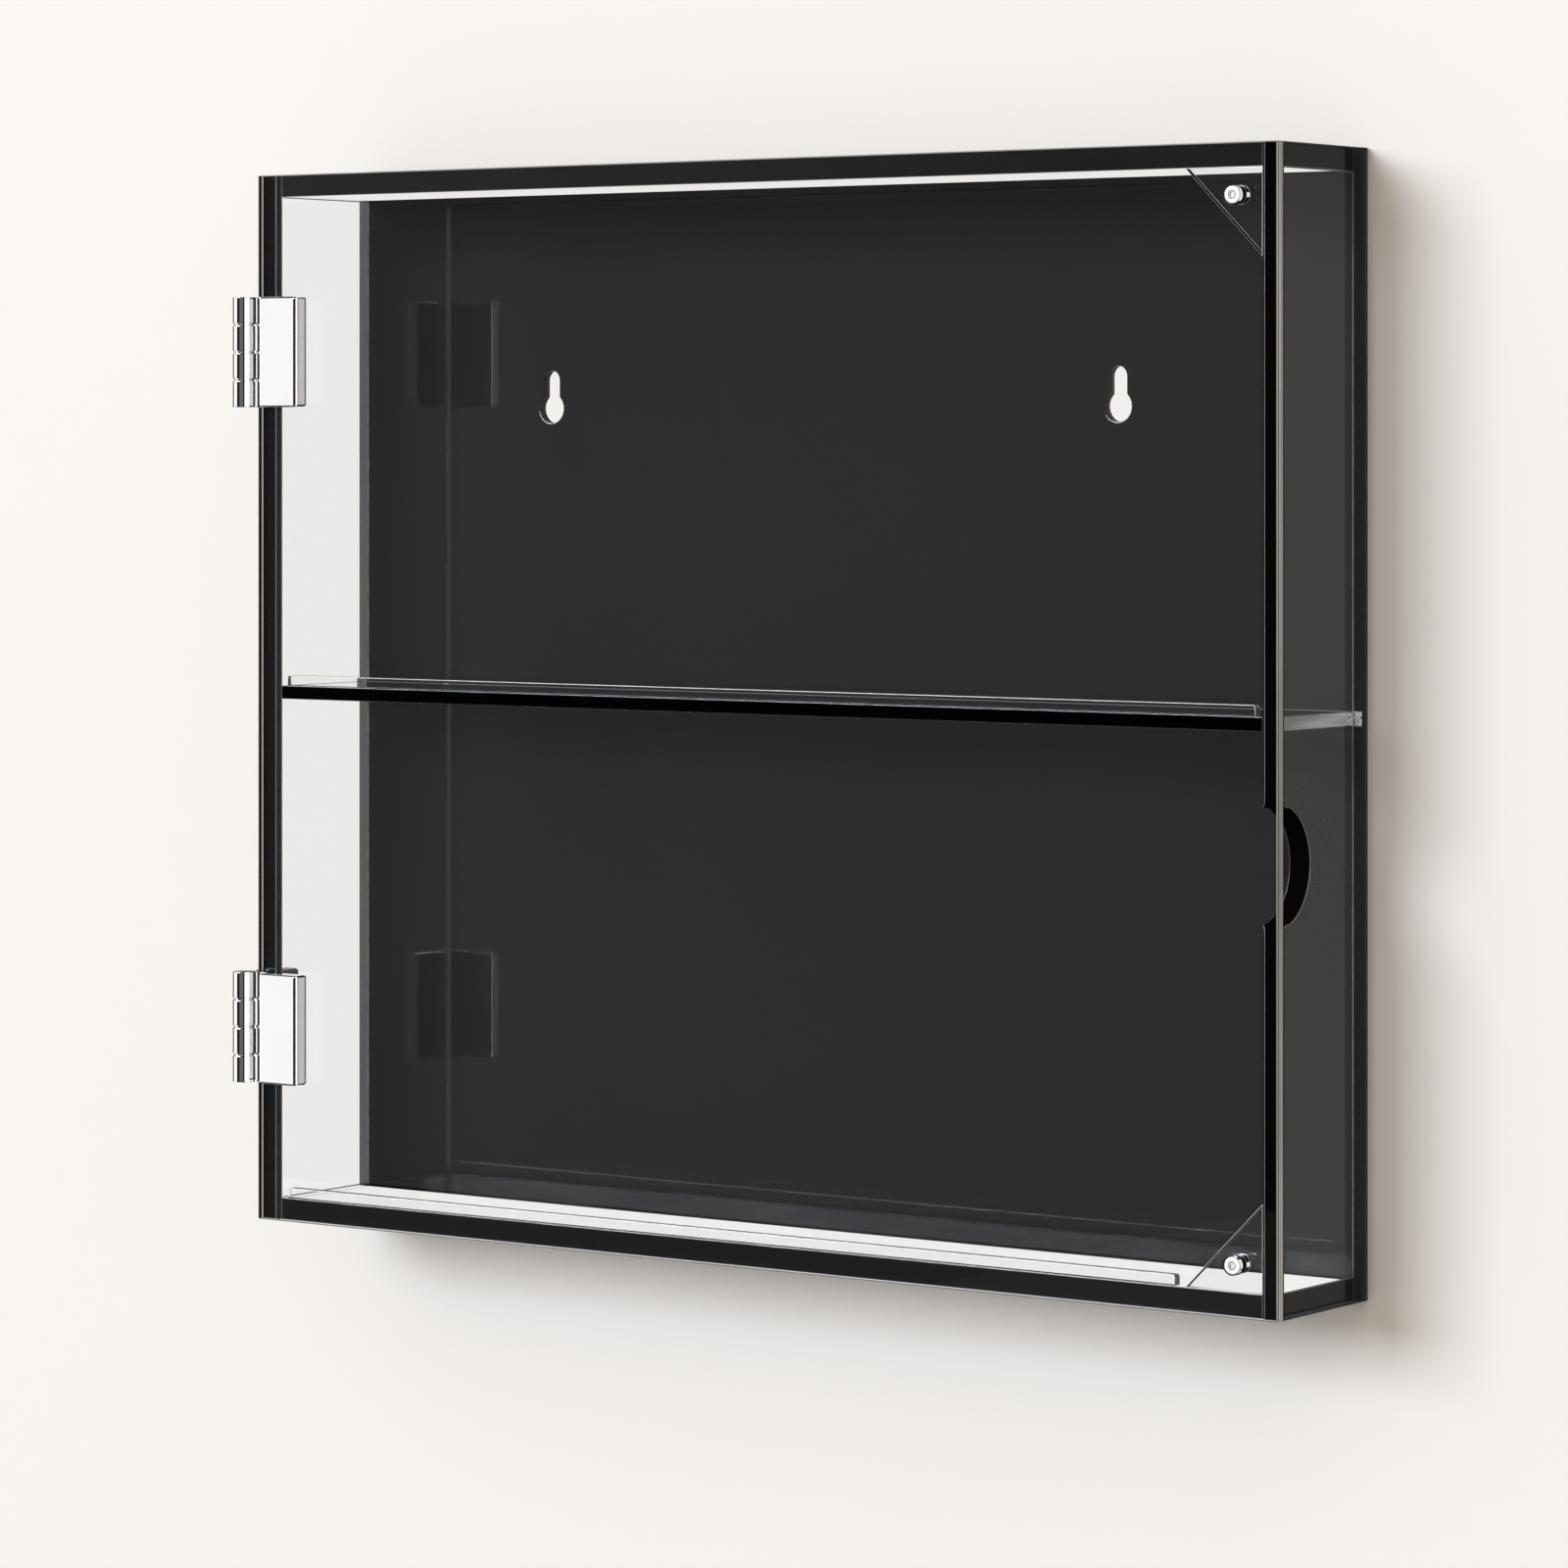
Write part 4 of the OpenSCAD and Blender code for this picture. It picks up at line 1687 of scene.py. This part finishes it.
@dataclass
class Studio:
    """The camera, the wall, the floor and the lights. Nothing here belongs to the object."""

    camera_at: Vector = field(default_factory=lambda: Vector((0.9186, -1.31395, -0.0092)))
    # Round from straight on, in degrees
    camera_turn: float = 35.45
    lens: float = 132.8
    image_shift: float = -0.219
    wall_gap: float = 0.4 * MM
    wall_reach: float = 2.4
    # How far inside the case's outline the wall is open, so that the back is lit in rear views
    opening_inset: float = 12 * MM
    # Half the width and height of the wall's closed places behind the keyholes
    keyhole_cover: tuple[float, float] = (9 * MM, 14 * MM)
    floor_height: float = -1.5
    ambient: Colour = (0.625, 0.547, 0.465)
    # How bright the room is at level height, how much more straight up, and at least
    room_level: float = 0.95
    room_rise: float = 0.7
    room_least: float = 0.25
    # The room as the eye sees it, where no wall is
    pale_room: Colour = (0.88, 0.86, 0.84)
    # A light's place: its azimuth from the front in degrees, its elevation in degrees, its distance
    key_place: tuple[float, float, float] = (-24, 17, 8.0)
    key_aim: tuple[float, float, float] = (0.0, -0.03, -0.083)
    key_colour: Colour = (0.92, 1.015, 1.125)
    # How bright the key light's face is
    key: float = 9.6
    key_size: tuple[float, float] = (4.6, 3.05)
    cards_aim: tuple[float, float, float] = (-0.16, -0.05, -0.083)
    # Each white card's name, place, size and brightness
    metal_cards: tuple[tuple[str, tuple[float, float, float], tuple[float, float], float], ...] = (
        ("left_metal_card", (-56, 0, 1.0), (0.62, 1.0), 1.04),
        ("right_metal_card", (70, 0, 1.0), (0.7, 1.0), 2.8),
    )
    # The least that the room shows in the black back, seen through the clear sheets
    mirrored_in_glass: float = 0.2
    # From how many crossings of a clear face a mirror image counts as seen through the sheets
    crossings: float = 2.5
    # How much of the room's light is left in mirrors that look steeply up or down
    mirrored_above: float = 0.06
    # Between which heights of the mirrored way that begins
    steep: tuple[float, float] = (0.42, 0.55)
    # How bright the room is in mirrors, by the angle in degrees round from the front
    mirrored_room: tuple[tuple[float, float], ...] = (
        (-180, 0.8),
        (-124, 0.8),
        (-112, 0.1),
        (-82, 0.1),
        (-77, 0.95),
        (-54, 0.95),
        (-50, 0.03),
        (-34, 0.01),
        (-12, 0.01),
        (-8, 0.14),
        (24, 0.14),
        (28, 0.01),
        (38, 0.01),
        (42, 0.95),
        (88, 0.95),
        (100, 0.6),
        (180, 0.8),
    )

    def add_camera(self) -> None:
        """Makes the camera at the photograph's viewing angle."""
        data = bpy.data.cameras.new("camera")
        data.sensor_width = 36.0
        data.lens = self.lens
        data.shift_y = self.image_shift
        data.clip_start = 0.05
        camera = bpy.data.objects.new("camera", data)
        camera.location = self.camera_at
        camera.rotation_euler = (math.radians(90), 0.0, math.radians(self.camera_turn))
        bpy.context.scene.collection.objects.link(camera)
        bpy.context.scene.camera = camera

    def add_stage(
        self, name: str, corners: list[Vector], faces: list[tuple[int, ...]], paint: WallPaint
    ) -> None:
        """Adds a part of the stage.

        Args:
            name: its name.
            corners: its corners.
            faces: its faces, as numbers of corners.
            paint: its paint.
        """
        mesh = bpy.data.meshes.new(name)
        mesh.from_pydata(corners, [], faces)
        mesh.materials.append(paint.make())
        piece = bpy.data.objects.new(name, mesh)
        bpy.context.scene.collection.objects.link(piece)

    def add_wall(self) -> None:
        """Makes the wall, open behind the case but for two closed places behind the keyholes."""
        low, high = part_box("back_panel")
        inset = self.opening_inset
        reach = self.wall_reach
        outer = [(-reach, -reach), (reach, -reach), (reach, reach), (-reach, reach)]
        inner = [
            (low.x + inset, low.z + inset),
            (high.x - inset, low.z + inset),
            (high.x - inset, high.z - inset),
            (low.x + inset, high.z - inset),
        ]
        corners = [Vector((x, self.wall_gap, z)) for x, z in outer + inner]
        faces = [(i, (i + 1) % 4, 4 + (i + 1) % 4, 4 + i) for i in range(4)]
        self.add_stage("wall", corners, faces, WallPaint())
        self.add_keyhole_wall(low, high)

    def add_keyhole_wall(self, low: Vector, high: Vector) -> None:
        """Closes the wall behind the two keyholes of the back panel.

        Args:
            low: the panel's lowest corner.
            high: its highest corner.
        """
        half_width, half_height = self.keyhole_cover
        middle = (low.x + high.x) / 2
        level = high.z - KEYHOLE_BELOW_TOP
        corners: list[Vector] = []
        faces = []
        for side in (-1, 1):
            centre = Vector((middle + side * KEYHOLE_AWAY, self.wall_gap, level))
            start = len(corners)
            for across, up in ((-1, -1), (1, -1), (1, 1), (-1, 1)):
                corners.append(centre + Vector((across * half_width, 0.0, up * half_height)))
            faces.append((start, start + 1, start + 2, start + 3))
        self.add_stage("wall_behind_keyholes", corners, faces, WallPaint("keyhole_wall_paint"))

    def add_floor(self) -> None:
        """Makes the floor, well below the case."""
        reach, rear = self.wall_reach * 2, self.wall_gap
        level = self.floor_height
        corners = [
            Vector((-reach, -2 * reach, level)),
            Vector((reach, -2 * reach, level)),
            Vector((reach, rear, level)),
            Vector((-reach, rear, level)),
        ]
        paint = WallPaint(
            "floor_paint", in_mirrors=0.04, after_mirrors=0.2, painted_shade_falloff=0.0, thrown=0.3, open_behind=False
        )
        self.add_stage("floor", corners, [(0, 1, 2, 3)], paint)

    def add_panel_light(
        self,
        name: str,
        place: tuple[float, float, float],
        aim: Vector,
        size: tuple[float, float],
        radiance: float,
        colour: Colour = (1.0, 1.0, 1.0),
    ) -> bpy.types.Object:
        """Adds a rectangular soft light.

        Args:
            name: the light's name.
            place: its azimuth from the front in degrees, its elevation in degrees and its distance.
            aim: the point it faces, which its place is measured from.
            size: its width and height.
            radiance: how bright its face is, where 1 is white.
            colour: its colour.

        Returns:
            The light's object.
        """
        turn, rise, away = math.radians(place[0]), math.radians(place[1]), place[2]
        level = math.cos(rise)
        toward = Vector((math.sin(turn) * level, -math.cos(turn) * level, math.sin(rise)))
        data = bpy.data.lights.new(name, "AREA")
        data.shape = "RECTANGLE"
        data.size, data.size_y = size
        data.energy = radiance * math.pi * size[0] * size[1]
        data.color = colour
        light = bpy.data.objects.new(name, data)
        light.location = aim + toward * away
        light.rotation_euler = (-toward).to_track_quat("-Z", "Y").to_euler()
        light.visible_camera = False
        bpy.context.scene.collection.objects.link(light)
        return light

    def add_lights(self) -> bpy.types.Object:
        """Adds the key light at the upper left and returns it."""
        aim = Vector(self.key_aim)
        return self.add_panel_light(
            "key_light", self.key_place, aim, self.key_size, self.key, self.key_colour
        )

    def spare_shadows(self, light: bpy.types.Object, pieces: list[bpy.types.Object]) -> None:
        """Keeps some pieces from throwing a light's shadow on the back panel.

        Args:
            light: the light.
            pieces: the pieces that it passes.
        """
        passed = bpy.data.collections.new("passed_by_key_light")
        for piece in pieces:
            passed.objects.link(piece)
        for entry in passed.collection_objects:
            entry.light_linking.link_state = "EXCLUDE"
        light.light_linking.blocker_collection = passed

    def add_metal_cards(self, pieces: list[bpy.types.Object]) -> None:
        """Adds the white cards at the left and right that only the metal parts mirror.

        Args:
            pieces: the pieces that see the cards.
        """
        aim = Vector(self.cards_aim)
        cards = [
            self.add_panel_light(name, place, aim, size, radiance)
            for name, place, size, radiance in self.metal_cards
        ]
        lit = bpy.data.collections.new("lit_by_metal_cards")
        for piece in pieces:
            lit.objects.link(piece)
        for card in cards:
            card.light_linking.receiver_collection = lit

    def add_world(self) -> None:
        """Makes the room's even light: pale to the eye and through glass, dark in front in mirrors."""
        world = bpy.data.worlds.new("room")
        bpy.context.scene.world = world
        tree = Tree(world)
        toward = tree.add("TexCoord").outputs["Generated"]
        split = tree.add("SeparateXYZ", {"Vector": toward}).outputs
        path = tree.add("LightPath").outputs
        rising = tree.maths("MULTIPLY_ADD", split["Z"], self.room_rise, self.room_level)
        height = tree.maths("MAXIMUM", rising, self.room_least)
        room = tree.add("Background", {"Color": (*self.ambient, 1), "Strength": height})
        mirrored = self.mirrored_light(tree, split, path)
        pale = tree.add("Background", {"Color": (*self.pale_room, 1), "Strength": 1.0})
        bounced = tree.maths("GREATER_THAN", path["Glossy Depth"], 0.5)
        scattered = tree.maths("GREATER_THAN", path["Diffuse Depth"], 0.5)
        in_mirror = tree.maths("SUBTRACT", bounced, scattered, clamp=True)
        unbroken = tree.maths("SUBTRACT", path["Is Transmission Ray"], bounced, clamp=True)
        through = tree.maths("SUBTRACT", unbroken, scattered, clamp=True)
        lit = tree.blend(in_mirror, room.outputs[0], mirrored)
        seen = tree.maths("MAXIMUM", path["Is Camera Ray"], through)
        tree.finish(tree.blend(seen, lit, pale.outputs[0]), world=True)

    def mirrored_light(
        self,
        tree: Tree,
        toward: bpy.types.bpy_prop_collection,
        path: bpy.types.bpy_prop_collection,
    ) -> bpy.types.NodeSocket:
        """Makes the room as mirrors show it.

        Args:
            tree: the world's tree.
            toward: the outputs that hold the three parts of the way looked in.
            path: the outputs that tell how the light came.

        Returns:
            The background's output.
        """
        turn = tree.maths("ARCTAN2", toward["X"], tree.maths("MULTIPLY", toward["Y"], -1.0))
        ramp = tree.add("ValToRGB", {"Fac": tree.maths("MULTIPLY_ADD", turn, 1 / (2 * math.pi), 0.5)})
        stops = [((way + 180) / 360, level) for way, level in self.mirrored_room]
        fill_ramp(ramp.color_ramp, stops)
        slope = tree.maths("ABSOLUTE", toward["Z"])
        level = tree.spread(slope, 1.0, self.mirrored_above, self.steep)
        in_glass = tree.maths("GREATER_THAN", path["Transmission Depth"], self.crossings)
        least = tree.maths("MULTIPLY", in_glass, self.mirrored_in_glass)
        tone = tree.maths("MAXIMUM", ramp.outputs[0], least)
        return tree.add("Background", {"Color": tone, "Strength": level}).outputs[0]

    def set_view(self) -> None:
        """Sets the plain view transform and lets light cross all the clear sheets."""
        scene = bpy.context.scene
        scene.view_settings.view_transform = "Standard"
        scene.cycles.max_bounces = 32
        scene.cycles.glossy_bounces = 24
        scene.cycles.transmission_bounces = 32
        scene.cycles.transparent_max_bounces = 48


def main() -> None:
    """Loads the frame, sets up the studio and builds each sub-assembly in turn."""
    logging.basicConfig(level=logging.INFO, format="%(message)s")
    studio = Studio()
    studio.add_camera()
    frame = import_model()
    studio.set_view()
    studio.add_wall()
    studio.add_floor()
    studio.add_world()
    key_light = studio.add_lights()
    dresser = Dresser(frame["nodes"])
    made = {
        "box": Box(dresser).dress(),
        "seams": CementSeams(dresser).build(),
        "card stops": CardStops(dresser).dress(),
        "catches": Catches(dresser).dress(),
        "door": Door(dresser).dress(),
        "hinges": Hinges(dresser).dress(),
    }
    for group, names in made.items():
        LOG.info("%s: %s", group, ", ".join(names))
    hinges = [bpy.data.objects[name] for name in made["hinges"]]
    studio.spare_shadows(key_light, hinges)
    metal = [piece for piece in hinges if not piece.name.endswith("pad")]
    studio.add_metal_cards([*metal, bpy.data.objects["catch_screw_heads"]])


if __name__ == "__main__":
    main()
